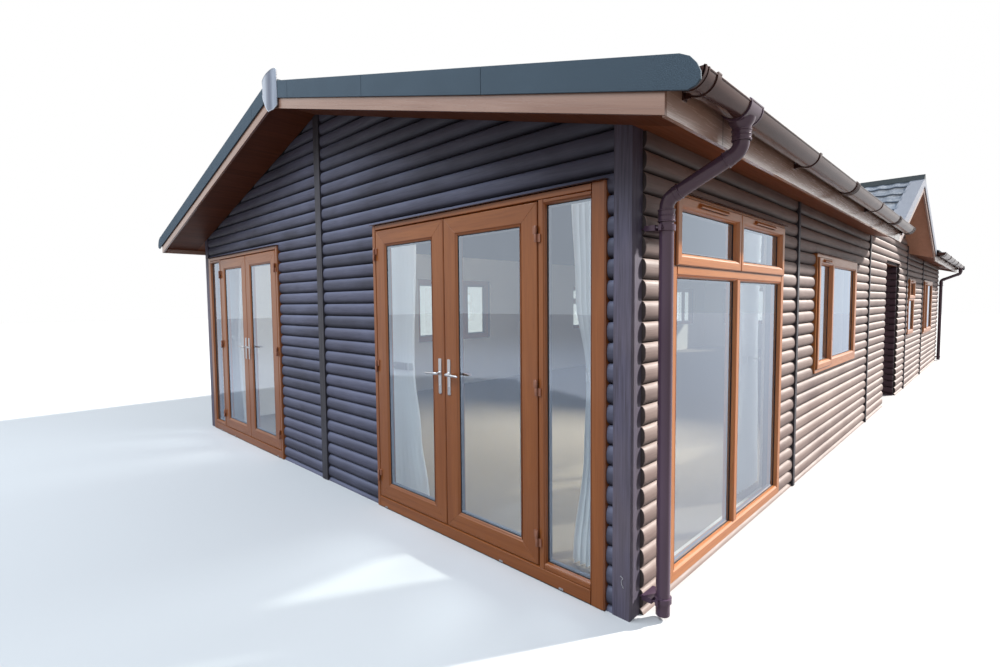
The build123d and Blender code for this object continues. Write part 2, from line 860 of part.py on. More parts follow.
def bracket(y, width=BRACKET_WIDTH):
    """Strap with a foot on the fascia."""
    inner = GUTTER_RADIUS + SEAT
    outer = inner + BRACKET_WALL
    with BuildSketch(Plane.XZ.offset(width / 2 - y)) as foot:
        with Locations((fascia_x, GUTTER_RIM)):
            Rectangle(GUTTER_STANDOFF + GUTTER_RADIUS / 2, outer, align=(Align.MIN, Align.MAX))
        with Locations((gutter_x, GUTTER_RIM)):
            RegularPolygon(inner, BRACKET_SIDES, major_radius=False, mode=Mode.SUBTRACT)
    extrude(foot.sketch, amount=-width)
    strap(y, width)


def brackets(places, unions):
    for place in places:
        bracket(place, UNION_WIDTH if place in unions else BRACKET_WIDTH)


with BuildPart() as left_brackets:
    brackets(end_brackets + left_places, left_unions)

with BuildPart() as gutter_brackets:
    brackets(end_brackets + front_brackets + rear_brackets, front_unions + rear_unions)
    mirror(left_brackets.part, about=Plane.YZ)
save(gutter_brackets, "gutter_brackets")


# Downpipes: a swan neck from the gutter's outlet to the wall, then down to the foot
def bend(before, corner, after):
    """Points of a mitred elbow at a corner, round an arc of the elbow's radius."""
    start = (corner - before).normalized()
    end = (after - corner).normalized()
    turn = start.get_angle(end)
    joint = ELBOW_RADIUS * tan(radians(turn / 2 / ELBOW_JOINTS))
    point = corner - start * (ELBOW_RADIUS * tan(radians(turn / 2)) - joint)
    hinge = Axis((0, 0, 0), start.cross(end))
    points = [point]
    for number in range(1, ELBOW_JOINTS):
        point = point + start.rotate(hinge, turn * number / ELBOW_JOINTS) * 2 * joint
        points.append(point)
    return points


def downpipe(outlet_y, pipe_y):
    pipe_x = half_width + PIPE_X_OUT
    top = Vector(gutter_x, outlet_y, GUTTER_RIM - GUTTER_RADIUS - SEAT)
    upper = Vector(gutter_x, outlet_y, ELBOW_TOP)
    lower = Vector(pipe_x, pipe_y, ELBOW_BOTTOM)
    foot = Vector(pipe_x, pipe_y, PIPE_FOOT)
    centre_low = (Align.CENTER, Align.CENTER, Align.MIN)
    with BuildPart() as pipe:
        with BuildLine() as route:
            Polyline(top, *bend(top, upper, lower), *bend(upper, lower, foot), foot)
        with BuildSketch(Plane(origin=top, z_dir=(0, 0, -1))):
            RegularPolygon(PIPE_RADIUS, PIPE_SIDES)
        sweep(path=route.wires()[0], transition=Transition.RIGHT)
        strap(outlet_y, OUTLET_WIDTH)
        with Locations((gutter_x, outlet_y, top.Z - 2 * SOCKET_RADIUS)):
            Cylinder(SOCKET_RADIUS, 2 * SOCKET_RADIUS, align=centre_low)
        with Locations((pipe_x, pipe_y, ELBOW_BOTTOM - 3 * SOCKET_RADIUS)):
            Cylinder(SOCKET_RADIUS, 2 * SOCKET_RADIUS, align=centre_low)
        for height in (ELBOW_BOTTOM - 4 * SOCKET_RADIUS, PIPE_FOOT + SOCKET_RADIUS):
            with BuildSketch(Plane.XY.offset(height)):
                with Locations((pipe_x, pipe_y)):
                    RegularPolygon(CLIP_RADIUS, CLIP_SIDES)
            extrude(amount=BRACKET_WIDTH)
            block(
                (clip_wall(pipe_y), pipe_x),
                (pipe_y - BRACKET_WIDTH / 2, pipe_y + BRACKET_WIDTH / 2),
                (height, height + BRACKET_WIDTH),
            )
    return pipe


def clip_wall(y):
    """Face that carries the pipe's clips: the wall, or the corner post's side."""
    return half_width if abs(y) + BRACKET_WIDTH / 2 > post_y else side_face


front_downpipe = downpipe(front_outlet, front_outlet)
save(front_downpipe, "front_downpipe")

rear_downpipe = downpipe(rear_outlet, half_length - REAR_PIPE_IN)
save(rear_downpipe, "rear_downpipe")

with BuildPart() as left_downpipes:
    mirror(front_downpipe.part, about=Plane.YZ)
    mirror(rear_downpipe.part, about=Plane.YZ)
save(left_downpipes, "left_downpipes")


# Windows: a frame round its lights, a raised sash round each light that opens
def window_frame(plane, window, lights, sashes):
    """Frame on a wall plane. Lights and sashes are (x, y, width, height) of their glass."""
    pane(plane, 0, 0, window.width, window.height, -FRAME_DEPTH)
    for x, y, width, height in sashes:
        pane(
            plane,
            x - SASH_MEMBER,
            y - SASH_MEMBER,
            width + 2 * SASH_MEMBER,
            height + 2 * SASH_MEMBER,
            SASH_PROUD,
        )
    for x, y, width, height in lights:
        pane(plane, x, y, width, height, -FRAME_DEPTH, Mode.SUBTRACT)
    for x, y, width, height in sashes:
        pane(plane.offset(SASH_PROUD), x, y, width, height, -FRAME_DEPTH - SASH_PROUD, Mode.SUBTRACT)


def glass_panes(plane, lights):
    for x, y, width, height in lights:
        pane(plane.offset(-GLASS_SET), x, y, width, height, -GLASS)


def columns(width, shares, member):
    """Splits a frame's width into lights with the given shares, between equal members."""
    free = width - (len(shares) + 1) * member
    place = member
    result = []
    for share in shares:
        size = free * share / sum(shares)
        result.append((place, size))
        place = place + size + member
    return result


def side_by_side(window, shares, sash_numbers):
    """Lights side by side over the full height of a window."""
    lights = []
    sashes = []
    for number, (x, size) in enumerate(columns(window.width, shares, WINDOW_MEMBER)):
        light = (x, WINDOW_MEMBER, size, window.height - 2 * WINDOW_MEMBER)
        if number in sash_numbers:
            sashes.append(light)
        else:
            lights.append(light)
    return lights, sashes


def tall_lights(window):
    """Two fixed lights below two top-hung fanlights."""
    lights = []
    sashes = []
    fixed_top = TRANSOM_START - window.low
    fan_bottom = TRANSOM_END - window.low
    fan_top = window.height - FRAME_MEMBER - SASH_PROUD
    for x, size in columns(window.width, EQUAL, FRAME_MEMBER):
        lights.append((x, FRAME_MEMBER, size, fixed_top - FRAME_MEMBER))
    for x, size in columns(window.width, EQUAL, FRAME_MEMBER + SASH_MEMBER / 2):
        sashes.append((x, fan_bottom, size, fan_top - fan_bottom))
    return lights, sashes


def fan_over_fixed(window):
    """One fanlight over one fixed light."""
    member = FRAME_MEMBER
    width = window.width - 2 * member
    fan = window.height * FAN_SHARE
    lights = [(member, member, width, window.height - fan - 2 * member - SASH_MEMBER / 2)]
    sashes = [(member, window.height - fan, width, fan - member - SASH_PROUD)]
    return lights, sashes


tall_plane = right_plane(TALL_WINDOW.start, TALL_WINDOW.low, side_frame_face)
with BuildPart() as tall_window_frame:
    window_frame(tall_plane, TALL_WINDOW, *tall_lights(TALL_WINDOW))
save(tall_window_frame, "tall_window_frame")

right_windows = (
    (LOUNGE_WINDOW, side_by_side(LOUNGE_WINDOW, NARROW_WIDE, (0,))),
    (BATH_WINDOW, fan_over_fixed(BATH_WINDOW)),
    (BED_WINDOW, side_by_side(BED_WINDOW, NARROW_WIDE, (0,))),
)
with BuildPart() as right_window_frames:
    for window, lights in right_windows:
        window_frame(right_plane(window.start, window.low, side_frame_face), window, *lights)
save(right_window_frames, "right_window_frames")

left_windows = [
    (
        window,
        fan_over_fixed(window) if window.width < window.height else side_by_side(window, NARROW_WIDE, (0,)),
    )
    for window in LEFT_WINDOWS
]
with BuildPart() as left_window_frames:
    for window, lights in left_windows:
        window_frame(left_plane(window.start, window.low, side_frame_face), window, *lights)
save(left_window_frames, "left_window_frames")

end_frame_face = end_face + BATTEN_PROUD
rear_windows = [(window, side_by_side(window, EQUAL, (0,))) for window in REAR_WINDOWS]
with BuildPart() as rear_window_frames:
    for window, lights in rear_windows:
        window_frame(rear_plane(window.start, window.low, end_frame_face), window, *lights)
save(rear_window_frames, "rear_window_frames")

with BuildPart() as window_glass:
    lights, sashes = tall_lights(TALL_WINDOW)
    glass_panes(tall_plane, lights + sashes)
    for window, (lights, sashes) in right_windows:
        glass_panes(right_plane(window.start, window.low, side_frame_face), lights + sashes)
    for window, (lights, sashes) in left_windows:
        glass_panes(left_plane(window.start, window.low, side_frame_face), lights + sashes)
    for window, (lights, sashes) in rear_windows:
        glass_panes(rear_plane(window.start, window.low, end_frame_face), lights + sashes)
save(window_glass, "window_glass")

# Glazed door sets. The right set is built from its inner jamb, the left one is its mirror image
doorway_start = JAMB
sidelight_start = SET_WIDTH - SIDELIGHT_JAMB - SIDELIGHT_WIDTH
doorway_end = sidelight_start - MULLION_WIDTH
leaf_width = (doorway_end - doorway_start - 3 * LEAF_GAP) / 2
set_plane = front_plane(set_start, SET_SILL, set_face)
sidelight_height = SET_HEIGHT - SIDELIGHT_BOTTOM - SIDELIGHT_TOP
doorway_height = SET_HEIGHT - JAMB - HEAD
stop_depth = FRAME_DEPTH - LEAF_DEPTH - LEAF_GAP

with BuildPart() as right_door_frame:
    pane(set_plane, 0, 0, SET_WIDTH, SET_HEIGHT, -FRAME_DEPTH)
    pane(
        set_plane,
        doorway_start,
        JAMB,
        doorway_end - doorway_start,
        doorway_height,
        stop_depth - FRAME_DEPTH,
        Mode.SUBTRACT,
    )
    pane(
        set_plane,
        doorway_start + STOP,
        JAMB + STOP,
        doorway_end - doorway_start - 2 * STOP,
        doorway_height - 2 * STOP,
        -FRAME_DEPTH,
        Mode.SUBTRACT,
    )
    pane(
        set_plane,
        sidelight_start,
        SIDELIGHT_BOTTOM,
        SIDELIGHT_WIDTH,
        sidelight_height,
        -FRAME_DEPTH,
        Mode.SUBTRACT,
    )
save(right_door_frame, "right_door_frame")

with BuildPart() as left_door_frame:
    mirror(right_door_frame.part, about=Plane.YZ)
save(left_door_frame, "left_door_frame")

with BuildPart() as sidelight_glass:
    pane(
        set_plane.offset(-GLASS_SET),
        sidelight_start,
        SIDELIGHT_BOTTOM,
        SIDELIGHT_WIDTH,
        sidelight_height,
        -GLASS,
    )
    mirror(about=Plane.YZ)
save(sidelight_glass, "sidelight_glass")

leaf_low = SET_SILL + JAMB + LEAF_GAP
leaf_high = SET_SILL + SET_HEIGHT - HEAD - LEAF_GAP
pin_y = -(set_face + PIN_OUT)


def leaf_sash(pin_x, way):
    """Leaf that runs from its pin in the given way, its closing edge bevelled inward."""
    hinge_edge = pin_x + way * LEAF_GAP / 2
    free_edge = hinge_edge + way * leaf_width
    with BuildPart() as sash:
        outline = [
            (hinge_edge, -set_face),
            (free_edge, -set_face),
            (free_edge - way * LEAF_BEVEL, LEAF_DEPTH - set_face),
            (hinge_edge, LEAF_DEPTH - set_face),
        ]
        prism(Plane.XY.offset(leaf_low), outline, leaf_high - leaf_low)
        block(
            (hinge_edge + way * LEAF_STILE, free_edge - way * LEAF_STILE),
            (-set_face, LEAF_DEPTH - set_face),
            (leaf_low + LEAF_BOTTOM_RAIL, leaf_high - LEAF_TOP_RAIL),
            Mode.SUBTRACT,
        )
    return sash


def leaf_glass(pin_x, way):
    hinge_edge = pin_x + way * LEAF_GAP / 2
    free_edge = hinge_edge + way * leaf_width
    with BuildPart() as glass:
        block(
            (hinge_edge + way * LEAF_STILE, free_edge - way * LEAF_STILE),
            (GLASS_SET / 2 - set_face, GLASS_SET / 2 + GLASS - set_face),
            (leaf_low + LEAF_BOTTOM_RAIL, leaf_high - LEAF_TOP_RAIL),
        )
    return glass


def knuckle(pin_x, low):
    """Hinge barrel on a pin line, from a height upward."""
    with BuildSketch(Plane.XY.offset(low)) as barrel:
        with Locations((pin_x, pin_y)):
            RegularPolygon(KNUCKLE_RADIUS, KNUCKLE_SIDES)
    extrude(barrel.sketch, amount=KNUCKLE_LENGTH)


def leaf_hardware(pin_x, way):
    """Hinge flags with their knuckles, and a lever on a plate on both faces."""
    handle_x = pin_x + way * (LEAF_GAP / 2 + leaf_width - HANDLE_BACKSET)
    with BuildPart() as hardware:
        for height in HINGE_HEIGHTS:
            knuckle(pin_x, height + KNUCKLE_GAP / 2)
            block(
                (pin_x, pin_x + way * FLAG_WIDTH),
                (-set_face - FLAG, -set_face),
                (height + KNUCKLE_GAP / 2, height + KNUCKLE_GAP / 2 + KNUCKLE_LENGTH),
            )
        for face, out in ((-set_face, -1), (LEAF_DEPTH - set_face, 1)):
            block(
                (handle_x - PLATE_WIDTH / 2, handle_x + PLATE_WIDTH / 2),
                (face, face + out * PLATE),
                (HANDLE_HEIGHT - PLATE_HEIGHT / 2, HANDLE_HEIGHT + PLATE_HEIGHT / 2),
            )
            neck = Plane(origin=(handle_x, face + out * PLATE, HANDLE_HEIGHT), z_dir=(0, out, 0))
            with BuildSketch(neck):
                RegularPolygon(LEVER_RADIUS, KNUCKLE_SIDES)
            extrude(amount=LEVER_OUT - PLATE)
            lever_y = face + out * (LEVER_OUT - LEVER_RADIUS)
            lever = Plane(origin=(handle_x, lever_y, HANDLE_HEIGHT), z_dir=(-way, 0, 0))
            with BuildSketch(lever):
                RegularPolygon(LEVER_RADIUS, KNUCKLE_SIDES)
            extrude(amount=LEVER_LENGTH)
    return hardware


inner_pin = set_start + doorway_start + LEAF_GAP / 2
outer_pin = set_start + doorway_end - LEAF_GAP / 2
DOORS = {
    "door_1": (-outer_pin, 1),
    "door_2": (-inner_pin, -1),
    "door_3": (inner_pin, 1),
    "door_4": (outer_pin, -1),
}

for name, (pin_x, way) in DOORS.items():
    save(leaf_sash(pin_x, way), f"{name}_sash")
    save(leaf_glass(pin_x, way), f"{name}_glass")
    save(leaf_hardware(pin_x, way), f"{name}_hardware")

with BuildPart() as hinge_flags:
    for pin_x, way in DOORS.values():
        for height in HINGE_HEIGHTS:
            low = height - KNUCKLE_GAP / 2 - KNUCKLE_LENGTH
            knuckle(pin_x, low)
            block(
                (pin_x, pin_x - way * FLAG_WIDTH),
                (-set_face - FLAG, -set_face),
                (low, low + KNUCKLE_LENGTH),
            )
save(hinge_flags, "hinge_flags")
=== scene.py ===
import json
import random
from math import ceil, copysign, cos, floor, hypot, pi, radians, sin, sqrt, tan

import bmesh
import bpy
from mathutils import Matrix, Vector

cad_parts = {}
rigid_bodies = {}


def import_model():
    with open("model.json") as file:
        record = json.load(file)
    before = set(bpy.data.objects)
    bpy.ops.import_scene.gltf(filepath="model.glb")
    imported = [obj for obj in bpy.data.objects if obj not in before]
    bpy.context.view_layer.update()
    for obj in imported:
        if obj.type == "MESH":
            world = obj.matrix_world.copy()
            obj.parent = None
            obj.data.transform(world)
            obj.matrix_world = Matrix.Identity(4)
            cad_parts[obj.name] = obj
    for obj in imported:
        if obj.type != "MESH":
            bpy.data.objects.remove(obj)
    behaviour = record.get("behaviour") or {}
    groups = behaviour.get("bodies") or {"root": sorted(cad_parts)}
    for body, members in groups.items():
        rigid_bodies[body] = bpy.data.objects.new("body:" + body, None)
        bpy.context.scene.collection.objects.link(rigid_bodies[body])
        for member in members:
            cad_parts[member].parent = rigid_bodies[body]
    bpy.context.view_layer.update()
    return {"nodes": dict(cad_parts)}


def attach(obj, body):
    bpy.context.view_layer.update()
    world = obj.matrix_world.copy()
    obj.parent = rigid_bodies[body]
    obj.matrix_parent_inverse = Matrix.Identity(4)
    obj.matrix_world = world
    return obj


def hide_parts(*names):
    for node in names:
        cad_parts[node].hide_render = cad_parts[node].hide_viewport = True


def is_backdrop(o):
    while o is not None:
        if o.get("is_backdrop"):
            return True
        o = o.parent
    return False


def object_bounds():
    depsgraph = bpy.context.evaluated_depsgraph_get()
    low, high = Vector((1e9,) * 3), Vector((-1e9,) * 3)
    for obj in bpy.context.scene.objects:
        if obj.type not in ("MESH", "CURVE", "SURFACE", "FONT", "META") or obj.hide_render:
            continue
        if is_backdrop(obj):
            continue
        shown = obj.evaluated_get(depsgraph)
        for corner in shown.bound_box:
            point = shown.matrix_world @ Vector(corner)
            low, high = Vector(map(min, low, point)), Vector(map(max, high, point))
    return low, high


for leftover in list(bpy.data.objects):
    bpy.data.objects.remove(leftover)

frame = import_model()
draw = random.Random(11)

# The holiday chalet's main places, in metres, as in the model
HALF_WIDTH = 3.048
HALF_LENGTH = 7.62
POST = 0.097
POST_X = HALF_WIDTH - POST
POST_Y = HALF_LENGTH - POST
SIDE_FACE = 3.038
SIDE_IN = 2.938
END_FACE = 7.584
END_IN = 7.484
WALL_TOP = 2.37
MAIN_SLOPE = tan(radians(15))
MAIN_TILT = sqrt(1 + MAIN_SLOPE ** 2)
RIDGE_SOFFIT = WALL_TOP + HALF_WIDTH * MAIN_SLOPE
ROOF_DEPTH = 0.145
FASCIA_X = 3.402
FASCIA_BACK = 3.384
FASCIA_LOW, FASCIA_HIGH = 2.2335, 2.392
VERGE_Y = 8.01
SOFFIT_EDGE = 2.28
LIP_X = 3.445
GABLET_HALF = 2.1
GABLET_DROP = 0.02
GABLET_SLOPE = (FASCIA_X * MAIN_SLOPE - GABLET_DROP) / GABLET_HALF
GABLET_TILT = sqrt(1 + GABLET_SLOPE ** 2)
RECESS = (-0.51, 0.68)
RECESS_HEAD = 2.085
RECESS_BACK = 1.948
RECESS_CEILING = 0.012
ENTRANCE_FACE = 1.936
SET_FACE = 7.632
SET_SILL = 0.045
SET_TOP = 2.145
SET_START = 0.861
SET_END = 2.911
SIDE_FRAME = 3.084
END_FRAME = 7.626
GUTTER_X = 3.474
GUTTER_RIM = 2.375
BATTEN_HALF = 0.0475
SIDE_BATTEN_HALF = 0.0225


def main_height(x, above=0.0):
    """Height of the main soffit's slope, or of a slope above it, at a distance from the ridge."""
    return RIDGE_SOFFIT + above - MAIN_SLOPE * abs(x)


def gablet_height(y, above=0.0):
    return RIDGE_SOFFIT - GABLET_DROP + above - GABLET_SLOPE * abs(y)


def valley_x(y):
    """X at which the gablet's slope meets the main slope."""
    return (GABLET_SLOPE * abs(y) + GABLET_DROP) / MAIN_SLOPE


# The camera stands off the front right corner, at a person's height
CAMERA_PLACE = (4.3077, -9.8044, 1.5573)
YAW = radians(44.1624)
PITCH = radians(-3.3465)
ROLL = radians(-0.4958)
forward = Vector((-sin(YAW) * cos(PITCH), cos(YAW) * cos(PITCH), sin(PITCH)))
level = Vector((cos(YAW), sin(YAW), 0))
upright = level.cross(forward)
across = cos(ROLL) * level + sin(ROLL) * upright
above = cos(ROLL) * upright - sin(ROLL) * level
camera_data = bpy.data.cameras.new("camera")
camera_data.sensor_fit = "HORIZONTAL"
camera_data.sensor_width = 36
camera_data.lens = 18.716
camera_data.clip_end = 200
camera = bpy.data.objects.new("camera", camera_data)
bpy.context.scene.collection.objects.link(camera)
turned = Matrix((across, above, -forward)).transposed().to_4x4()
camera.matrix_world = Matrix.Translation(CAMERA_PLACE) @ turned
bpy.context.scene.camera = camera
bpy.context.scene.view_settings.view_transform = "Standard"


# Node helpers
class Nodes:
    """A node tree with short calls for the nodes that the finishes and the studio share."""

    def __init__(self, owner, output):
        owner.use_nodes = True
        self.tree = owner.node_tree
        self.tree.nodes.clear()
        self.output = self.tree.nodes.new(output)

    def put(self, socket, value):
        if isinstance(value, bpy.types.NodeSocket):
            self.tree.links.new(value, socket)
        else:
            socket.default_value = value

    def node(self, kind, output=0, inputs=(), **settings):
        made = self.tree.nodes.new(kind)
        for label, value in settings.items():
            setattr(made, label, value)
        for label, value in dict(inputs).items():
            self.put(made.inputs[label], value)
        return made.outputs[output]

    def show(self, share, first, second):
        """Send the mix of two shaders to the output."""
        mixed = self.node("ShaderNodeMixShader", 0, {0: share, 1: first, 2: second})
        self.put(self.output.inputs["Surface"], mixed)

    def sum(self, action, first, second=0.0, clamp=False):
        return self.node("ShaderNodeMath", 0, {0: first, 1: second}, operation=action, use_clamp=clamp)

    def ray(self, kind):
        return self.node("ShaderNodeLightPath", f"Is {kind} Ray")

    def seen(self):
        """1 for the rays that show a thing to the camera, straight, mirrored or through glass."""
        mirrored = self.sum("MAXIMUM", self.ray("Glossy"), self.ray("Transmission"))
        return self.sum("MAXIMUM", self.ray("Camera"), mirrored)


class Finish(Nodes):
    """A material and its shader."""

    def __init__(self, name, **constants):
        self.material = bpy.data.materials.new(name)
        super().__init__(self.material, "ShaderNodeOutputMaterial")
        self.shader = self.tree.nodes.new("ShaderNodeBsdfPrincipled")
        self.put(self.output.inputs["Surface"], self.shader.outputs[0])
        for label, value in constants.items():
            self.to(label.replace("_", " "), value)
        self.place = self.node("ShaderNodeTexCoord", "Object")

    def to(self, label, value):
        self.put(self.shader.inputs[label], value)

    def noise(self, scale, stretch=(1, 1, 1), detail=4.0, rough=0.55, bend=0.0):
        place = self.node("ShaderNodeMapping", 0, {"Vector": self.place, "Scale": stretch})
        inputs = {"Vector": place, "Scale": scale, "Detail": detail, "Roughness": rough, "Distortion": bend}
        return self.node("ShaderNodeTexNoise", "Fac", inputs)

    def span(self, value, low, high, start=0.0, end=1.0):
        inputs = {"Value": value, "From Min": low, "From Max": high, "To Min": start, "To Max": end}
        return self.node("ShaderNodeMapRange", 0, inputs, clamp=True)

    def blend(self, share, first, second):
        inputs = {0: share, 6: first, 7: second}
        made = self.tree.nodes.new("ShaderNodeMix")
        made.data_type = "RGBA"
        for number, value in inputs.items():
            self.put(made.inputs[number], value)
        return made.outputs[2]

    def part(self, axis, vector=None):
        return self.node("ShaderNodeSeparateXYZ", axis, {0: vector or self.place})

    def along_slope(self, axis, slope):
        """Object coordinates turned so that axis runs down a roof slope on either side of the ridge."""
        run, rise = 1 / sqrt(1 + slope ** 2), slope / sqrt(1 + slope ** 2)
        away, height = self.sum("ABSOLUTE", self.part(axis)), self.part(2)
        down = self.sum("SUBTRACT", self.sum("MULTIPLY", away, run), self.sum("MULTIPLY", height, rise))
        lift = self.sum("ADD", self.sum("MULTIPLY", away, rise), self.sum("MULTIPLY", height, run))
        places = [self.part(0), self.part(1), lift]
        places[axis] = down
        self.place = self.node("ShaderNodeCombineXYZ", 0, dict(enumerate(places)))

    def tone(self, name="tone"):
        return self.node("ShaderNodeAttribute", "Fac", attribute_type="GEOMETRY", attribute_name=name)

    def bump(self, height, distance):
        inputs = {"Height": height, "Distance": distance, "Strength": 1.0}
        self.to("Normal", self.node("ShaderNodeBump", 0, inputs))


def colour(red, green, blue):
    """A colour given in 0 to 255 as a picture shows it, in the linear values that Blender takes."""
    def linear(value):
        value = value / 255
        return value / 12.92 if value <= 0.04045 else ((value + 0.055) / 1.055) ** 2.4
    return (linear(red), linear(green), linear(blue), 1.0)


def shades(*triples):
    return [colour(*triple) for triple in triples]


# Finishes
def board_finish(name, tones, along):
    """Stained log-lap boards: grain along the wall, one shade for each board, pale patches, a painted
    highlight on faces turned up, and painted shade on faces turned down, in the grooves and on the board
    ends.
    """
    light, dark, pale, shade = tones
    f = Finish(name, Specular_IOR_Level=0.35)
    stretch = (0.05, 1, 1) if along == "x" else (1, 0.05, 1)
    grain = f.noise(120, stretch, 6, 0.62, 0.4)
    patch = f.noise(1.7, (1, 1, 1), 3, 0.5)
    above = f.part(2, f.node("ShaderNodeNewGeometry", "Normal"))
    base = f.blend(f.tone(), light, dark)
    # The pale tone serves both for pale patches here and, below, for the painted highlight
    base = f.blend(f.span(patch, 0.35, 0.7, 0.0, 0.35), base, pale)
    base = f.blend(f.span(grain, 0.42, 0.72, 0.0, 0.34), base, dark)
    # Painted highlight on faces turned up, painted shade on faces turned down
    base = f.blend(f.span(above, 0.05, 0.75, 0.0, 0.45), base, pale)
    base = f.blend(f.span(above, -0.75, -0.1, 0.72, 0.0), base, shade)
    # Painted shade where the crest attribute is low: in the grooves and on the board ends
    f.to("Base Color", f.blend(f.span(f.tone("crest"), 0.0, 0.3, 0.85, 0.0), base, shade))
    f.to("Roughness", f.span(grain, 0.3, 0.8, 0.5, 0.72))
    f.bump(f.sum("ADD", f.sum("MULTIPLY", grain, 0.7), f.sum("MULTIPLY", f.noise(14, stretch), 0.9)), 0.0016)
    return f.material


def wall_finish(name, dark):
    """Core of a wall: dark behind its boards, pale lining on the room side."""
    f = Finish(name, Roughness=0.8)
    inside_x = f.sum("LESS_THAN", f.sum("ABSOLUTE", f.part(0)), SIDE_IN + 0.02)
    inside_y = f.sum("LESS_THAN", f.sum("ABSOLUTE", f.part(1)), END_IN + 0.02)
    weave = f.noise(260, (1, 1, 1), 2)
    lining = f.blend(f.span(weave, 0.3, 0.7), *shades((222, 214, 202), (232, 226, 216)))
    f.to("Base Color", f.blend(f.sum("MULTIPLY", inside_x, inside_y), dark, lining))
    f.bump(weave, 0.0004)
    return f.material


def timber_finish(name, light, dark, worn):
    """Stained square timber, grain upright, with worn patches."""
    f = Finish(name, Specular_IOR_Level=0.4)
    grain = f.noise(90, (1, 1, 0.04), 6, 0.6, 0.5)
    patch = f.noise(2.4, (1, 1, 0.5), 3)
    base = f.blend(f.span(grain, 0.35, 0.7), light, dark)
    f.to("Base Color", f.blend(f.span(patch, 0.45, 0.75, 0.0, 0.5), base, worn))
    f.to("Roughness", f.span(grain, 0.3, 0.8, 0.45, 0.68))
    f.bump(grain, 0.0012)
    return f.material


def oak_finish(name, tones, gloss, run, slope=None, coat=0.24, relief=0.0002):
    """Foiled plastic with a printed oak grain under a satin skin; run is the axis of the grain."""
    light, mid, dark = tones
    f = Finish(name, Coat_Weight=coat, Coat_Roughness=0.12, Specular_IOR_Level=0.15 + coat)
    if slope:
        f.along_slope("xyz".index(run), slope)
    stretch = [0.045 if axis == run else 1 for axis in "xyz"]
    grain = f.noise(95, stretch, 5, 0.6, 0.8)
    figure = f.noise(12, stretch, 4, 0.55, 1.6)
    base = f.blend(f.span(figure, 0.34, 0.7), light, mid)
    f.to("Base Color", f.blend(f.span(grain, 0.48, 0.74, 0.0, 0.34), base, dark))
    f.to("Roughness", f.span(grain, 0.3, 0.8, gloss, gloss + 0.14))
    f.bump(grain, relief)
    return f.material


def tile_finish(name, light, pale, moss, lichen_grey, shade):
    """Granulated tile sheet, grey, with pale lichen, and painted shade under the step of each course."""
    f = Finish(name, Roughness=0.86, Specular_IOR_Level=0.3)
    grit = f.node("ShaderNodeTexVoronoi", "Distance", {"Vector": f.place, "Scale": 420})
    speck = f.noise(170, (1, 1, 1), 3, 0.7)
    lichen = f.noise(9, (1, 1, 1), 6, 0.68, 0.6)
    patch = f.noise(1.3, (1, 1, 1), 3)
    base = f.blend(f.span(speck, 0.3, 0.7), light, pale)
    base = f.blend(f.span(patch, 0.4, 0.7, 0.0, 0.4), base, moss)
    base = f.blend(f.span(lichen, 0.48, 0.72, 0.0, 0.62), base, lichen_grey)
    # Painted shade where the crest attribute is low, under each course's step
    f.to("Base Color", f.blend(f.span(f.tone("crest"), 0.0, 0.42, 1.0, 0.0), base, shade))
    f.bump(f.sum("ADD", grit, f.sum("MULTIPLY", lichen, 0.8)), 0.0016)
    return f.material


def slate_finish(name, light, dark):
    """Granulated trim: fine pale specks on slate grey."""
    f = Finish(name, Roughness=0.78, Specular_IOR_Level=0.35)
    speck = f.noise(320, (1, 1, 1), 2, 0.8)
    patch = f.noise(3.0, (1, 1, 1), 4, 0.6)
    base = f.blend(f.span(speck, 0.42, 0.62), dark, light)
    f.to("Base Color", f.blend(f.span(patch, 0.45, 0.75, 0.0, 0.2), base, light))
    f.bump(speck, 0.0009)
    return f.material


def plastic_finish(name, light, dark, gloss, coat=0.12):
    """Moulded plastic, smooth and glossy, a little chalked by the sun."""
    f = Finish(name, Coat_Weight=coat, Coat_Roughness=0.12, Specular_IOR_Level=0.3)
    f.to("Specular Tint", (1.0, 0.74, 0.66, 1))
    chalk = f.noise(1.2, (1, 1, 1), 2, 0.4)
    f.to("Base Color", f.blend(f.span(chalk, 0.3, 0.75), dark, light))
    f.to("Roughness", f.span(f.noise(7, (1, 1, 1), 2), 0.3, 0.8, gloss, gloss + 0.05))
    f.bump(chalk, 0.0001)
    return f.material


def shield_finish(name, pale, dark, speck):
    """Bowed plastic cover: a silvery painted highlight and a dark upright band of painted shade, broken by
    upright noise.
    """
    f = Finish(name, Roughness=0.34, Coat_Weight=0.3, Coat_Roughness=0.14)
    grit = f.noise(140, (1, 1, 1), 3, 0.6)
    run = f.noise(26, (1, 1, 0.12), 3, 0.5)
    # Painted shade band from the faces' tone, broken by upright noise
    shade_band = f.sum("ADD", f.tone(), f.span(run, 0.3, 0.7, -0.14, 0.14), True)
    f.to("Base Color", f.blend(f.span(grit, 0.45, 0.7, 0.0, 0.16), f.blend(shade_band, pale, dark), speck))
    f.bump(grit, 0.0004)
    return f.material


def metal_finish(name, tint, bright, gloss):
    f = Finish(name, Metallic=1.0)
    brush = f.noise(160, (1, 1, 0.06), 4)
    f.to("Base Color", f.blend(f.span(brush, 0.3, 0.7), tint, bright))
    f.to("Roughness", f.span(brush, 0.2, 0.8, gloss, gloss + 0.16))
    return f.material


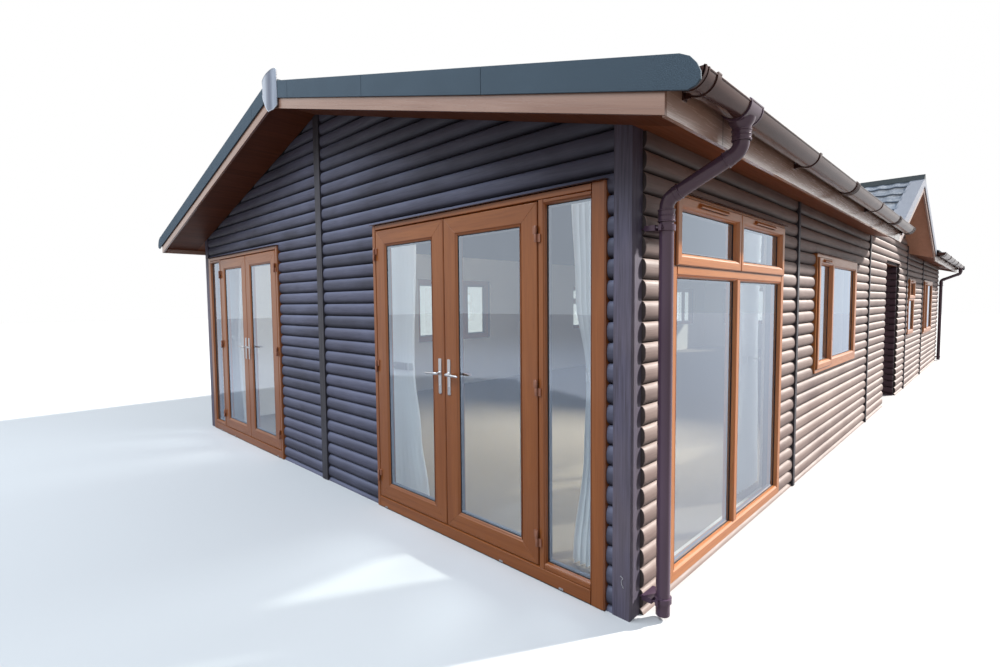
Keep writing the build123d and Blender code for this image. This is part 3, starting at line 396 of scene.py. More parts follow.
def glass_finish(name):
    """Thin sealed glazing: clear, with a reflection on its outer face that is tinted blue and raised by a
    near-even extra share, a painted sky reflection.
    """
    f = Finish(name)
    clear = f.node("ShaderNodeBsdfTransparent", 0, {"Color": (0.95, 0.98, 0.97, 1)})
    gloss = f.node("ShaderNodeBsdfGlossy", 0, {"Color": (0.68, 0.77, 0.9, 1), "Roughness": 0.0})
    rim = f.node("ShaderNodeFresnel", 0, {"IOR": 1.5})
    front = f.sum("SUBTRACT", 1.0, f.node("ShaderNodeNewGeometry", "Backfacing"))
    # Near-even extra reflection share on top of the Fresnel share: painted sky reflection
    extra_reflection = f.span(f.noise(6, (1, 1, 0.6), 4), 0.5, 0.8, 0.28, 0.295)
    share = f.sum("ADD", f.sum("MULTIPLY", rim, 1.5), extra_reflection)
    f.show(f.sum("MULTIPLY", share, front, True), clear, gloss)
    f.tree.nodes.remove(f.shader)
    return f.material


def cloth_finish(name, pale, shade):
    """Plain woven curtain cloth that lets a little daylight through."""
    f = Finish(name, Roughness=0.9, Sheen_Weight=0.2)
    warp = f.noise(900, (1, 1, 0.06), 2)
    weft = f.noise(900, (0.1, 0.1, 1), 2)
    weave = f.sum("MULTIPLY", f.sum("ADD", warp, weft), 0.5)
    base = f.blend(f.span(weave, 0.35, 0.65), shade, pale)
    f.to("Base Color", base)
    f.bump(weave, 0.0005)
    f.show(0.45, f.shader.outputs[0], f.node("ShaderNodeBsdfTranslucent", 0, {"Color": base}))
    return f.material


def carpet_finish(name, dark, light, worn):
    f = Finish(name, Roughness=0.95)
    pile = f.noise(380, (1, 1, 1), 3, 0.7)
    wear = f.noise(2.2, (1, 1, 1), 3)
    base = f.blend(f.span(pile, 0.3, 0.7), dark, light)
    f.to("Base Color", f.blend(f.span(wear, 0.4, 0.7, 0.0, 0.4), base, worn))
    f.bump(pile, 0.002)
    return f.material


SHADE = (20, 17, 20)
# One board stain in copies: the side copy is lighter as painted sunlight; the end copy is darker as painted
# shade, and its bluish pale tone is a painted sky highlight
SIDE_STAIN_AND_SUNLIGHT = shades((134, 114, 108), (108, 91, 88), (192, 173, 164), SHADE)
END_STAIN_AND_SHADE = shades((84, 84, 102), (58, 58, 71), (130, 134, 160), SHADE)
# Dark copy of the board stain for the recess: painted shade
RECESS_STAIN_AND_SHADE = shades((102, 80, 90), (86, 66, 76), (118, 98, 106), (54, 42, 48))
SIDE_BOARDS = board_finish("side_boards_painted_sunlight", SIDE_STAIN_AND_SUNLIGHT, "y")
END_BOARDS = board_finish("end_boards_painted_shade", END_STAIN_AND_SHADE, "x")
RECESS_BOARDS = board_finish("recess_boards_painted_shade", RECESS_STAIN_AND_SHADE, "x")
WALL_CORE = wall_finish("wall_core", colour(44, 40, 44))
POST_TIMBER = timber_finish("post_timber_stain", *shades((96, 92, 112), (66, 62, 74), (128, 116, 122)))
BATTEN_TIMBER = timber_finish("batten_stain", *shades((62, 60, 66), (42, 40, 46), (82, 82, 92)))
RUBBER = timber_finish("black_gasket", *shades((26, 26, 28), (18, 18, 20), (40, 40, 42)))
OAK_TONES = shades((158, 93, 47), (140, 78, 37), (96, 52, 25))
# Lighter, more golden copy of the oak foil for the frames on the sunlit side: painted sunlight
SUNNY_TONES = shades((196, 124, 66), (178, 106, 52), (128, 74, 36))
BARGE_TONES = shades((168, 132, 114), (150, 112, 94), (112, 76, 60))
# Pale copy of the oak foil for the fascias: painted reflection of the sky's glare
FASCIA_GLARE_TONES = shades((214, 184, 168), (206, 174, 157), (184, 150, 133))
# Three copies of one soffit brown: darkest for the gable soffits and the recess ceiling as painted shade, mid
# for the eaves soffits as painted bounce light, palest for the gablet soffit as painted light
SHADED_SOFFIT_COLOURS = shades((112, 62, 38), (94, 50, 30), (66, 34, 22))
GABLET_SOFFIT_LIT_COLOURS = shades((232, 184, 158), (220, 170, 144), (186, 138, 112))
EAVES_SOFFIT_BOUNCE_COLOURS = shades((146, 86, 54), (126, 70, 42), (92, 48, 28))
OAK = oak_finish("oak_foil", OAK_TONES, 0.28, "z")
OAK_LEVEL = oak_finish("oak_foil_level", OAK_TONES, 0.28, "x")
OAK_ALONG = oak_finish("oak_foil_along", OAK_TONES, 0.28, "y")
SUNNY_OAK = oak_finish("side_oak_foil", SUNNY_TONES, 0.28, "z")
SUNNY_OAK_ALONG = oak_finish("side_oak_foil_along", SUNNY_TONES, 0.28, "y")
BARGE = oak_finish("barge_oak", BARGE_TONES, 0.2, "x", MAIN_SLOPE, 0.35)
GABLET_BARGE = oak_finish("gablet_barge_oak", BARGE_TONES, 0.2, "y", GABLET_SLOPE, 0.35)
FASCIA = oak_finish("fascia_oak_painted_glare", FASCIA_GLARE_TONES, 0.2, "y", coat=0.8, relief=0.00002)
SOFFIT = oak_finish("soffit_painted_shade", SHADED_SOFFIT_COLOURS, 0.45, "y", coat=0.0)
GABLET_SOFFIT = oak_finish("gablet_soffit_painted_light", GABLET_SOFFIT_LIT_COLOURS, 0.4, "y", coat=0.0)
EAVES_SOFFIT = oak_finish("eaves_soffit_painted_bounce_light", EAVES_SOFFIT_BOUNCE_COLOURS, 0.4, "y", coat=0.0)
# The last tile tone is the painted shade under the course steps
TILE_TONES = shades((102, 112, 128), (150, 162, 178), (98, 96, 94), (206, 210, 214), (24, 27, 32))
TILES = tile_finish("tile_grit", *TILE_TONES)
SLATE = slate_finish("slate_trim_grit", *shades((84, 103, 117), (47, 60, 71)))
# Pale copy of the slate trim for the gablet's trims: painted sky glare
PALE_SLATE = slate_finish("gablet_trim_grit_painted_glare", *shades((166, 172, 184), (122, 128, 142)))
CAP = slate_finish("ridge_cap_grit", *shades((84, 92, 94), (50, 56, 60)))
# Pale tone paints a silvery highlight, dark tone the shade of the finial's turned parts
FINIAL = shield_finish("finial_grey_painted_light", *shades((176, 186, 200), (72, 84, 108), (120, 128, 140)))
FINIAL_RIM = plastic_finish("finial_rim", *shades((206, 210, 216), (180, 186, 194)), 0.3)
RAINWATER = plastic_finish("rainwater_brown", *shades((82, 56, 50), (62, 40, 37)), 0.2)
# Lighter, violet copy of the rainwater brown for the downpipes: painted sky reflection
PIPE_PLASTIC = plastic_finish("downpipe_painted_sky_sheen", *shades((98, 78, 98), (78, 60, 76)), 0.2, 0.35)
SPACER_BAR = plastic_finish("spacer_bar", *shades((112, 116, 124), (88, 92, 100)), 0.5, 0.0)
HINGE_BROWN = plastic_finish("hinge_brown", *shades((176, 122, 98), (148, 98, 76)), 0.22, 0.4)
STEEL = metal_finish("brushed_steel", *shades((178, 180, 184), (206, 206, 208)), 0.24)
GLAZING = glass_finish("sealed_glazing")
CARPET = carpet_finish("carpet_beige", *shades((130, 115, 97), (162, 147, 127), (150, 136, 118)))
CURTAIN = cloth_finish("curtain_cloth", *shades((246, 247, 248), (233, 236, 239)))


# Shape helpers
class Wall:
    """A vertical face: u runs along it and out is the distance in front of it."""

    def __init__(self, right, outward, face=0.0):
        self.right = Vector(right)
        self.outward = Vector(outward)
        self.face = face

    def at(self, u, out, z):
        return self.right * u + self.outward * (self.face + out) + Vector((0, 0, z))

    def moved(self, face):
        return Wall(self.right, self.outward, face)


RIGHT = Wall((0, 1, 0), (1, 0, 0), SIDE_FACE)
LEFT = Wall((0, -1, 0), (-1, 0, 0), SIDE_FACE)
FRONT = Wall((1, 0, 0), (0, -1, 0), END_FACE)
REAR = Wall((-1, 0, 0), (0, 1, 0), END_FACE)

# The two sides measured out from the middle, with u running to the rear on both
OUT_RIGHT = RIGHT.moved(0)
OUT_LEFT = Wall((0, 1, 0), (-1, 0, 0))


def net(rows, columns, start=0):
    """Faces between points that lie in rows."""
    corners = [start + r * columns + c for r in range(rows - 1) for c in range(columns - 1)]
    return [[i, i + 1, i + columns + 1, i + columns] for i in corners]


class Shape:
    """Points and faces of one piece, gathered from many bodies."""

    def __init__(self):
        self.points = []
        self.faces = []
        self.tones = []
        self.crests = []
        self.paints = []

    def add(self, points, faces, tone=0.5, crests=None, paint=0):
        base = len(self.points)
        self.points.extend(Vector(p) for p in points)
        self.faces.extend([base + i for i in face] for face in faces)
        self.tones.extend([tone] * len(faces))
        self.paints.extend([paint] * len(faces))
        self.crests.extend(crests if crests else [1.0] * len(points))

    def loft(self, rings, paint=0, tone=0.5, closed_ends=True, loop=False):
        """Body through rings of points, each ring closed."""
        count = len(rings[0])
        faces = []
        for number in range(len(rings) if loop else len(rings) - 1):
            near = number * count
            far = (number + 1) % len(rings) * count
            for i in range(count):
                j = (i + 1) % count
                faces.append([near + i, near + j, far + j, far + i])
        if closed_ends and not loop:
            faces.append(list(range(count))[::-1])
            faces.append([(len(rings) - 1) * count + i for i in range(count)])
        self.add([p for ring in rings for p in ring], faces, tone, None, paint)

    def extrude(self, wall, outline, span, paint=0):
        """Body that runs along a wall; its outline holds (out, height) points."""
        self.loft([[wall.at(u, out, z) for out, z in outline] for u in span], paint)

    def plate(self, wall, outline, depths, paint=0):
        """Body that stands off a wall; its outline holds (along, height) points."""
        self.loft([[wall.at(u, out, z) for u, z in outline] for out in depths], paint)

    def box(self, wall, u, out, z, paint=0):
        self.plate(wall, rectangle(*u, *z), out, paint)

    def tube(self, path, radii, sides=16, paint=0, flat=1.0, side_hint=(0, 0, 1)):
        """Round bar along a path, with a radius for each point; flat squeezes it across the hint."""
        rings = []
        hint = Vector(side_hint)
        if not isinstance(radii, (list, tuple)):
            radii = [radii] * len(path)
        for number, (point, radius) in enumerate(zip(path, radii)):
            before = path[max(0, number - 1)]
            after = path[min(len(path) - 1, number + 1)]
            heading = (after - before).normalized()
            first = heading.cross(hint)
            if first.length < 0.01:
                first = heading.cross(Vector((1, 0, 0)))
            first.normalize()
            second = first.cross(heading).normalized()
            angles = [2 * pi * step / sides for step in range(sides)]
            rings.append([point + first * radius * cos(a) + second * radius * flat * sin(a) for a in angles])
        self.loft(rings, paint)

    def rod(self, wall, u, z, outs, radii, sides=12, paint=0):
        """Round bar that stands out of a wall."""
        self.tube([wall.at(u, out, z) for out in outs], radii, sides, paint)

    def piece(self, name, materials, slot, body="chalet", smooth=None, bevel=0.0, replaces=()):
        mesh = bpy.data.meshes.new(name)
        mesh.from_pydata([tuple(p) for p in self.points], [], self.faces)
        mesh.attributes.new("tone", "FLOAT", "FACE").data.foreach_set("value", self.tones)
        mesh.attributes.new("crest", "FLOAT", "POINT").data.foreach_set("value", self.crests)
        for material in materials if isinstance(materials, (list, tuple)) else [materials]:
            mesh.materials.append(material)
        mesh.polygons.foreach_set("material_index", self.paints)
        work = bmesh.new()
        work.from_mesh(mesh)
        bmesh.ops.recalc_face_normals(work, faces=work.faces)
        work.to_mesh(mesh)
        work.free()
        if smooth is not None:
            mesh.polygons.foreach_set("use_smooth", [True] * len(mesh.polygons))
            mesh.set_sharp_from_angle(angle=radians(smooth))
        made = bpy.data.objects.new(name, mesh)
        bpy.context.scene.collection.objects.link(made)
        if bevel:
            round_edges(made, bevel)
        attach(made, body)
        if replaces:
            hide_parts(*replaces)
        return made


def rectangle(u0, u1, z0, z1):
    return [(u0, z0), (u1, z0), (u1, z1), (u0, z1)]


def round_edges(made, width):
    edge = made.modifiers.new("edges", "BEVEL")
    edge.width = width
    edge.segments = 2
    edge.limit_method = "ANGLE"
    edge.angle_limit = radians(40)
    edge.harden_normals = False


def trimmed(points, faces, crests, planes, closed):
    """A body without what lies beyond each plane; the cuts of a closed body are filled."""
    work = bmesh.new()
    layer = work.verts.layers.float.new("crest")
    made = []
    for point, crest in zip(points, crests):
        made.append(work.verts.new(point))
        made[-1][layer] = crest
    for face in faces:
        work.faces.new([made[i] for i in face])
    for point, normal in planes:
        everything = work.verts[:] + work.edges[:] + work.faces[:]
        bmesh.ops.bisect_plane(work, geom=everything, plane_co=point, plane_no=normal, clear_outer=True)
        rim = [edge for edge in work.edges if closed and edge.is_boundary]
        if rim:
            bmesh.ops.holes_fill(work, edges=rim, sides=0)
    work.verts.index_update()
    left = [v.co.copy() for v in work.verts]
    result = left, [[v.index for v in f.verts] for f in work.faces], [v[layer] for v in work.verts]
    work.free()
    return result


# Log-lap boards
BOARD = 0.1025
BOARD_START = 0.0275
BOARD_GAP = 0.003
BOARD_LEAST = 0.004
BOARD_UNEVEN = 0.0012
CREST = 0.033
BOARD_STEPS = 10
ROUNDNESS = 0.82
BACK = 0.003
EASE, EASE_DROP = 0.002, 0.003
SPAN_LEAST = 0.003


def board_section(bottom, low, high):
    """Face of the board that starts at a height, kept between two heights: (out, up) from low to high."""
    middle = bottom + BOARD / 2
    half = (BOARD - BOARD_GAP) / 2

    def out_at(up):
        share = min(1.0, abs(up - middle) / half)
        return CREST * (1 - share ** (2 / ROUNDNESS)) ** (ROUNDNESS / 2)

    angles = [-pi / 2 + pi * step / BOARD_STEPS for step in range(BOARD_STEPS + 1)]
    heights = [middle + half * copysign(abs(sin(a)) ** ROUNDNESS, sin(a)) for a in angles]
    low = max(low, heights[0])
    high = min(high, heights[-1])
    if high - low < BOARD_LEAST:
        return []
    heights = [low] + [h for h in heights if low + 0.001 < h < high - 0.001] + [high]
    return [(out_at(h), h) for h in heights]


def board(shape, wall, start, end, section, ease, planes):
    """One board between two places along a wall, its sawn ends eased."""
    tone = draw.random()
    lift = draw.uniform(-BOARD_UNEVEN, BOARD_UNEVEN)
    stations = [(start, EASE_DROP), (start + EASE, 0.0)] if ease[0] else [(start, 0.0)]
    stations += [(end - EASE, 0.0), (end, EASE_DROP)] if ease[1] else [(end, 0.0)]
    rings, crests = [], []
    for u, drop in stations:
        face = [(max(0.001 - BACK, out + lift - drop), up) for out, up in section]
        outline = [(-BACK, section[0][1]), *face, (-BACK, section[-1][1])]
        rings.append([wall.at(u, out, up) for out, up in outline])
        # Crest 0 on the back and at the eased ends, which the finish paints in shade
        crests += [0.0, *[0.0 if drop else max(0.0, out / CREST) for out, _ in section], 0.0]
    whole = Shape()
    whole.loft(rings)
    if not planes:
        shape.add(whole.points, whole.faces, tone, crests)
        return
    points, faces, _ = trimmed(whole.points, whole.faces, crests, planes, True)
    if faces:
        crests = [max(0.0, (p - wall.at(0, 0, 0)).dot(wall.outward) / CREST) for p in points]
        shape.add(points, faces, tone, crests)


def clear_spans(place, low, high, holes):
    """Parts of a row's height that no hole takes at a place."""
    spans = [(low, high)]
    for start, end, foot, head in holes:
        if start < place < end:
            left = []
            for a, b in spans:
                if foot > a + SPAN_LEAST:
                    left.append((a, min(b, foot)))
                if head < b - SPAN_LEAST:
                    left.append((max(a, head), b))
            spans = [(a, b) for a, b in left if b - a > SPAN_LEAST]
    return spans


def clad(shape, wall, start, end, top, holes, slopes=None):
    """Rows of boards between two places; holes are (start, end, low, high) and slopes give cut planes."""
    row = floor(-BOARD_START / BOARD)
    while BOARD_START + row * BOARD < top:
        bottom = BOARD_START + row * BOARD
        low, high = max(bottom, 0), min(bottom + BOARD, top)
        edges = {start, end}
        for hole in holes:
            if hole[2] < high and hole[3] > low:
                edges.update(place for place in hole[:2] if start < place < end)
        edges = sorted(edges)
        cells = []
        for near, far in zip(edges, edges[1:]):
            spans = clear_spans((near + far) / 2, low, high, holes)
            if cells and cells[-1][2] == spans:
                cells[-1][1] = far
            else:
                cells.append([near, far, spans])
        for number, (near, far, spans) in enumerate(cells):
            before = cells[number - 1][2] if number else []
            after = cells[number + 1][2] if number + 1 < len(cells) else []
            for span in spans:
                section = board_section(bottom, *span)
                planes = slopes(near, far, span[1]) if slopes else []
                if section and planes is not None:
                    board(shape, wall, near, far, section, (not before, not after), planes)
        row += 1


TALL = (-7.28, -5.425, 0.06, 2.12)
LOUNGE = (-4.44, -2.69, 0.89, 1.98)
BATH = (1.83, 2.60, 0.94, 1.93)
BED = (4.20, 5.87, 0.84, 1.96)
LEFT_BEDS = [(-6.70, -5.03, 0.84, 1.96), (2.60, 4.35, 0.89, 1.98)]
LEFT_BATHS = [(-3.30, -2.53, 0.94, 1.93), (-0.90, -0.13, 0.94, 1.93)]
LEFT_HOLES = [LEFT_BEDS[0], *LEFT_BATHS, LEFT_BEDS[1]]
REAR_HOLES = [(-2.30, -1.00, 0.84, 1.96), (1.00, 2.30, 0.84, 1.96)]
RIGHT_BATTENS = (-5.0, -1.85, 1.6, 4.0)
LEFT_BATTENS = (4.6, 1.5, -1.6, -4.9)
EVERY = 9.0
CUT_CLEAR = 0.003
SOFFIT_AT_SIDE = main_height(SIDE_FACE + CREST)
GABLET_REACH = (RIDGE_SOFFIT - GABLET_DROP - SOFFIT_AT_SIDE) / GABLET_SLOPE


def batten_holes(places, half):
    return [(place - half, place + half, -EVERY, EVERY) for place in places]


def slope_planes(peak, x, y):
    """The two planes of a soffit that falls to both sides of its ridge."""
    point = Vector((0, 0, peak + CUT_CLEAR))
    return [(point, Vector((side * x, side * y, 1)).normalized()) for side in (-1, 1)]


def gablet_cut(near, far, top):
    """Planes of the gablet's soffit for a board that it crosses."""
    if near > GABLET_REACH or far < -GABLET_REACH or top <= SOFFIT_AT_SIDE:
        return []
    return slope_planes(gablet_height(0), 0, GABLET_SLOPE)


def gable_cut(near, far, top):
    """Planes of the main soffit for a board that it crosses, or None for one wholly above it."""
    if top < main_height(max(abs(near), abs(far))):
        return []
    if main_height(min(abs(near), abs(far)) if near * far > 0 else 0) < top - BOARD:
        return None
    return slope_planes(RIDGE_SOFFIT, MAIN_SLOPE, 0)


RECESS_TRIM = 0.03
right_holes = [TALL, LOUNGE, BATH, BED, *batten_holes(RIGHT_BATTENS, SIDE_BATTEN_HALF)]
recess_top = RECESS_HEAD + RECESS_CEILING + RECESS_TRIM
right_holes.append((RECESS[0] - RECESS_TRIM, RECESS[1] + RECESS_TRIM, -EVERY, recess_top))
right_holes.append((-POST_Y, -GABLET_REACH, SOFFIT_AT_SIDE, EVERY))
right_holes.append((GABLET_REACH, POST_Y, SOFFIT_AT_SIDE, EVERY))
left_holes = LEFT_HOLES + batten_holes(LEFT_BATTENS, SIDE_BATTEN_HALF)
middle_batten = batten_holes([0], BATTEN_HALF)
set_holes = [(SET_START, SET_END, -EVERY, SET_TOP), (-SET_END, -SET_START, -EVERY, SET_TOP)]
for name, wall, reach, top, holes, slopes in (
    ("right", RIGHT, POST_Y, gablet_height(0), right_holes, gablet_cut),
    ("left", LEFT, POST_Y, SOFFIT_AT_SIDE, left_holes, None),
    ("front", FRONT, POST_X, RIDGE_SOFFIT, set_holes + middle_batten, gable_cut),
    ("rear", REAR, POST_X, RIDGE_SOFFIT, REAR_HOLES + middle_batten, gable_cut),
):
    boards = Shape()
    clad(boards, wall, -reach, reach, top, holes, slopes)
    if wall in (RIGHT, LEFT):
        boards.piece(f"{name}_cladding", SIDE_BOARDS, "side_cladding", smooth=40)
    else:
        boards.piece(f"{name}_cladding", END_BOARDS, "end_cladding", smooth=40)

PORCH = (-0.365, 0.535, -EVERY, 2.02)
recess_boards_painted_shade = Shape()
clad(recess_boards_painted_shade, FRONT.moved(-RECESS[1]), RECESS_BACK + CREST, SIDE_FACE, RECESS_HEAD, [])
clad(recess_boards_painted_shade, REAR.moved(RECESS[0]), -SIDE_FACE, -RECESS_BACK - CREST, RECESS_HEAD, [])
clad(recess_boards_painted_shade, RIGHT.moved(RECESS_BACK), *RECESS, RECESS_HEAD, [PORCH])
recess_boards_painted_shade.piece("recess_cladding", RECESS_BOARDS, "end_cladding", smooth=40)


# Roof sheets: pressed tile courses with rolls across
COURSE = 0.39
ROLL_STEP = 0.183 / 8
ROLL_STEPS = 8
ROLL_RISE = 0.011
STEP = 0.015
SHEET_LIFT = 0.002
TILE_NOSE = 0.03
NOSE_SHARE = 0.92
TUCK, FOLD = 0.0005, 0.0002
FLAT_SHARE = 0.999


def roll_lift(a):
    """Height of a roll across the sheet, a round crest and a flatter pan."""
    wave = 0.5 + 0.5 * cos(2 * pi * a / (ROLL_STEP * ROLL_STEPS))
    return ROLL_RISE * wave ** 1.4


def sheet(shape, place, along, down, planes=()):
    """Tile sheet between two places along the eaves and two distances down the slope."""
    columns = [along[0]]
    number = ceil(along[0] / ROLL_STEP)
    while number * ROLL_STEP < along[1]:
        if number * ROLL_STEP > columns[-1] + 0.003:
            columns.append(number * ROLL_STEP)
        number += 1
    columns.append(along[1])
    rows = []
    course = floor(down[0] / COURSE)
    while course * COURSE < down[1]:
        start = course * COURSE
        top, end = max(down[0], start), min(down[1], start + COURSE)
        size = (end - start) / COURSE
        # Crest 0 at the top of each course, under the step above, and on the fold: painted shade in the
        # finish
        rows.append((top + TUCK, STEP * (top - start) / COURSE, 0.0))
        rows.append((end - TILE_NOSE, STEP * max(0.0, size - TILE_NOSE / COURSE), 1.0))
        rows.append((end, STEP * size * NOSE_SHARE, 1.0))
        rows.append((end + FOLD, 0.0, 0.0))
        course += 1
    rows[-1] = (down[1], -SHEET_LIFT / 2, 0.0)
    points, crests = [], []
    for s, lift, crest in rows:
        share = 1.0 if crest or lift else FLAT_SHARE
        points += [place(a, s, SHEET_LIFT + lift + roll_lift(a) * share) for a in columns]
        crests += [crest] * len(columns)
    faces = net(len(rows), len(columns))
    if planes:
        points, faces, crests = trimmed(points, faces, crests, planes, False)
    shape.add(points, faces, draw.random(), crests)


def main_place(side):
    def place(a, s, lift):
        x = s / MAIN_TILT
        return Vector((side * x, a, main_height(x, ROOF_DEPTH) + lift))
    return place


def gablet_place(side):
    def place(a, s, lift):
        y = s / GABLET_TILT
        return Vector((a, side * y, gablet_height(y, ROOF_DEPTH) + lift))
    return place


def valley_plane(side, way):
    """Upright plane through a valley; way is 1 to keep the main slope and -1 to keep the gablet."""
    line = Vector((valley_x(GABLET_HALF) - valley_x(0), side * GABLET_HALF, 0)).normalized()
    return Vector((valley_x(0), 0, 0)), Vector((line.y, -line.x, 0)) * side * way


FLANGE = 0.15
TILES_UNDER = 0.02
FLANGE_EDGE = VERGE_Y - FLANGE + TILES_UNDER
VALLEY_END = 2.16
GABLET_FOOT = 2.13
RIDGE_START = 0.1
MAIN_DOWN = (RIDGE_START, LIP_X * MAIN_TILT)
right_tiles = Shape()
sheet(right_tiles, main_place(1), (-FLANGE_EDGE, -VALLEY_END), MAIN_DOWN)
sheet(right_tiles, main_place(1), (VALLEY_END, FLANGE_EDGE), MAIN_DOWN)
sheet(right_tiles, main_place(1), (-VALLEY_END, 0), MAIN_DOWN, [valley_plane(-1, 1)])
sheet(right_tiles, main_place(1), (0, VALLEY_END), MAIN_DOWN, [valley_plane(1, 1)])
right_tiles.piece("right_roof_tiles", TILES, "roof_tile", smooth=50)
left_tiles = Shape()
sheet(left_tiles, main_place(-1), (-FLANGE_EDGE, FLANGE_EDGE), MAIN_DOWN)
left_tiles.piece("left_roof_tiles", TILES, "roof_tile", smooth=50)
gablet_tiles = Shape()
for side in (-1, 1):
    along = (RIDGE_START, FASCIA_X - FLANGE + TILES_UNDER)
    down = (RIDGE_START, GABLET_FOOT * GABLET_TILT)
    sheet(gablet_tiles, gablet_place(side), along, down, [valley_plane(side, -1)])
gablet_tiles.piece("gablet_roof_tiles", TILES, "roof_tile", smooth=50)


# Windows and door sets: mitred members round each light, beads, gaskets and sealed units
SIDE_PLANE = RIGHT.moved(SIDE_FRAME)
LEFT_PLANE = LEFT.moved(SIDE_FRAME)
REAR_PLANE = REAR.moved(END_FRAME)
SET_PLANE = FRONT.moved(SET_FACE)
FRAME_DEEP = 0.07
MEMBER = 0.062
WIDE_MEMBER = 0.09
SASH_OUT = 0.014
SASH_WIDE = 0.058
SASH_GAP = 0.003
GLASS_AT = -0.024
WELD = 0.00035
ARRIS = 0.009
HIDDEN = 0.001
UPRIGHT, LEVEL, SEAL, SPACER, DARK, METAL = range(6)


def inner(*points):
    """Profile points set in from the light's edge, each as (inset, out)."""
    return [("inner", inset, out) for inset, out in points]


def outer(*points):
    """Profile points set in from the outer edge."""
    return [("outer", inset, out) for inset, out in points]


def channel(reach, near, far):
    return inner((HIDDEN, near), (-reach, near), (-reach, far), (HIDDEN, far))


def unit_profiles(glass, proud, shoulder):
    """Bead, gasket and spacer bar of a sealed unit whose outer face lies at a depth."""
    back = glass + 0.003
    bead = inner((HIDDEN, -0.002 + proud), (-0.004, shoulder + proud), (-0.009, back), (HIDDEN, back))
    gasket = channel(0.0125, glass + 0.0035, glass + 0.0004)
    return bead, gasket, channel(0.021, glass - 0.004, glass - 0.02)


FRAME_PROFILE = outer((0, 0)) + inner((0.011, 0), (0, -ARRIS), (0, -FRAME_DEEP)) + outer((0, -FRAME_DEEP))
SASH_PROFILE = outer((0, 0), (0, SASH_OUT - 0.006), (0.006, SASH_OUT)) + inner(
    (0.013, SASH_OUT), (0.004, SASH_OUT - 0.006), (0, SASH_OUT - 0.012),
    (0, -FRAME_DEEP), (0.02, -FRAME_DEEP), (0.02, 0),
)
SASH_SEAL = outer((-0.0035, 0), (-0.0035, 0.0022), (0.004, 0.0022), (0.004, 0))


def corner_ring(wall, outside, light, profile, corner, shift, level):
    """Profile points at one corner of a rectangular ring; rectangles are (u0, u1, z0, z1)."""
    u_side, z_side = ((0, 0), (1, 0), (1, 1), (0, 1))[corner]
    ring = []
    for edge, inset, out in profile:
        rect, way = (outside, 1) if edge == "outer" else (light, -1)
        u = rect[u_side] + way * inset * (1 - 2 * u_side) + (shift if level else 0)
        z = rect[2 + z_side] + way * inset * (1 - 2 * z_side) + (0 if level else shift)
        ring.append(wall.at(u, out, z))
    return ring


def members(shape, wall, outside, light, profile, paints=(UPRIGHT, LEVEL), weld=WELD, ease=None):
    """Four mitred members, a hair line at each mitre; ease moves the back of one upright's outer edge."""
    for corner, way in enumerate((1, 1, -1, -1)):
        level = corner in (0, 2)
        first = corner_ring(wall, outside, light, profile, corner, way * weld, level)
        second = corner_ring(wall, outside, light, profile, (corner + 1) % 4, -way * weld, level)
        for ring in (first, second) if ease else ():
            for number, (edge, _, out) in enumerate(profile):
                at_edge = abs(ring[number].dot(wall.right) - ease[0]) < 0.001
                if edge == "outer" and out <= -LEAF_DEEP and at_edge:
                    ring[number] += wall.right * ease[1]
        shape.loft([first, second], paints[level])


def glazing(shape, wall, rect, profiles):
    """Bead, gasket and spacer bar round one sealed unit."""
    bead, gasket, spacer = profiles
    members(shape, wall, rect, rect, bead)
    members(shape, wall, rect, rect, gasket, (SEAL, SEAL), 0)
    members(shape, wall, rect, rect, spacer, (SPACER, SPACER), 0)


FIXED_UNIT = unit_profiles(GLASS_AT, 0.0, -0.006)
SASH_UNIT = unit_profiles(GLASS_AT, SASH_OUT - 0.01, -0.006)


def bar(shape, wall, u, z, paint, chamfer=0.011):
    """Transom or mullion with both front arrises chamfered."""
    low, high = z if paint == LEVEL else u
    face = [(-ARRIS, low), (0, low + chamfer), (0, high - chamfer), (-ARRIS, high)]
    outline = [(-FRAME_DEEP, low), *face, (-FRAME_DEEP, high)]
    if paint == LEVEL:
        shape.extrude(wall, outline, u, paint)
    else:
        shape.loft([[wall.at(place, out, end) for out, place in outline] for end in z], paint)


def opening_sash(shape, wall, light, outside):
    """Raised sash round a light, with a dark seal round its edge."""
    members(shape, wall, outside, light, SASH_PROFILE)
    members(shape, wall, outside, outside, SASH_SEAL, (SEAL, SEAL), 0)
    glazing(shape, wall, light, SASH_UNIT)


def drip(shape, wall, u, z):
    """Thin folded strip over the frame's head."""
    folds = ((-0.05, 0.004), (0.017, 0.004), (0.02, -0.002), (0.018, -0.002), (0.015, 0.002), (-0.05, 0.002))
    shape.extrude(wall, [(out, z + up) for out, up in folds], (u[0] - 0.012, u[1] + 0.012), DARK)


VENT_SLOTS = 14
VENT_DROP = 0.026


def vent(shape, wall, u, head):
    """Trickle vent on a sash's top rail: a hood over a slotted plate."""
    z = head - VENT_DROP
    middle = (u[0] + u[1]) / 2
    half = min(0.2, (u[1] - u[0]) * 0.27)
    hood = ((0, -0.012), (0.013, -0.012), (0.017, -0.006), (0.006, 0.012), (0, 0.014))
    shape.extrude(wall, [(SASH_OUT + out, z + up) for out, up in hood], (middle - half, middle + half), LEVEL)
    for slot in range(VENT_SLOTS):
        at = middle - half + 0.012 + (2 * half - 0.024) * (slot + 0.5) / VENT_SLOTS
        depths = (SASH_OUT + 0.002, SASH_OUT + 0.0125)
        shape.box(wall, (at - 0.008, at + 0.008), depths, (z - 0.0135, z - 0.0118), SEAL)


def split(start, end, shares, member):
    """Places of the lights between two ends, a member beside each."""
    free = end - start - (len(shares) + 1) * member
    place, result = start + member, []
    for share in shares:
        size = free * share / sum(shares)
        result.append((place, place + size))
        place += size + member
    return result


def around(light, by):
    return light[0] - by, light[1] + by, light[2] - by, light[3] + by


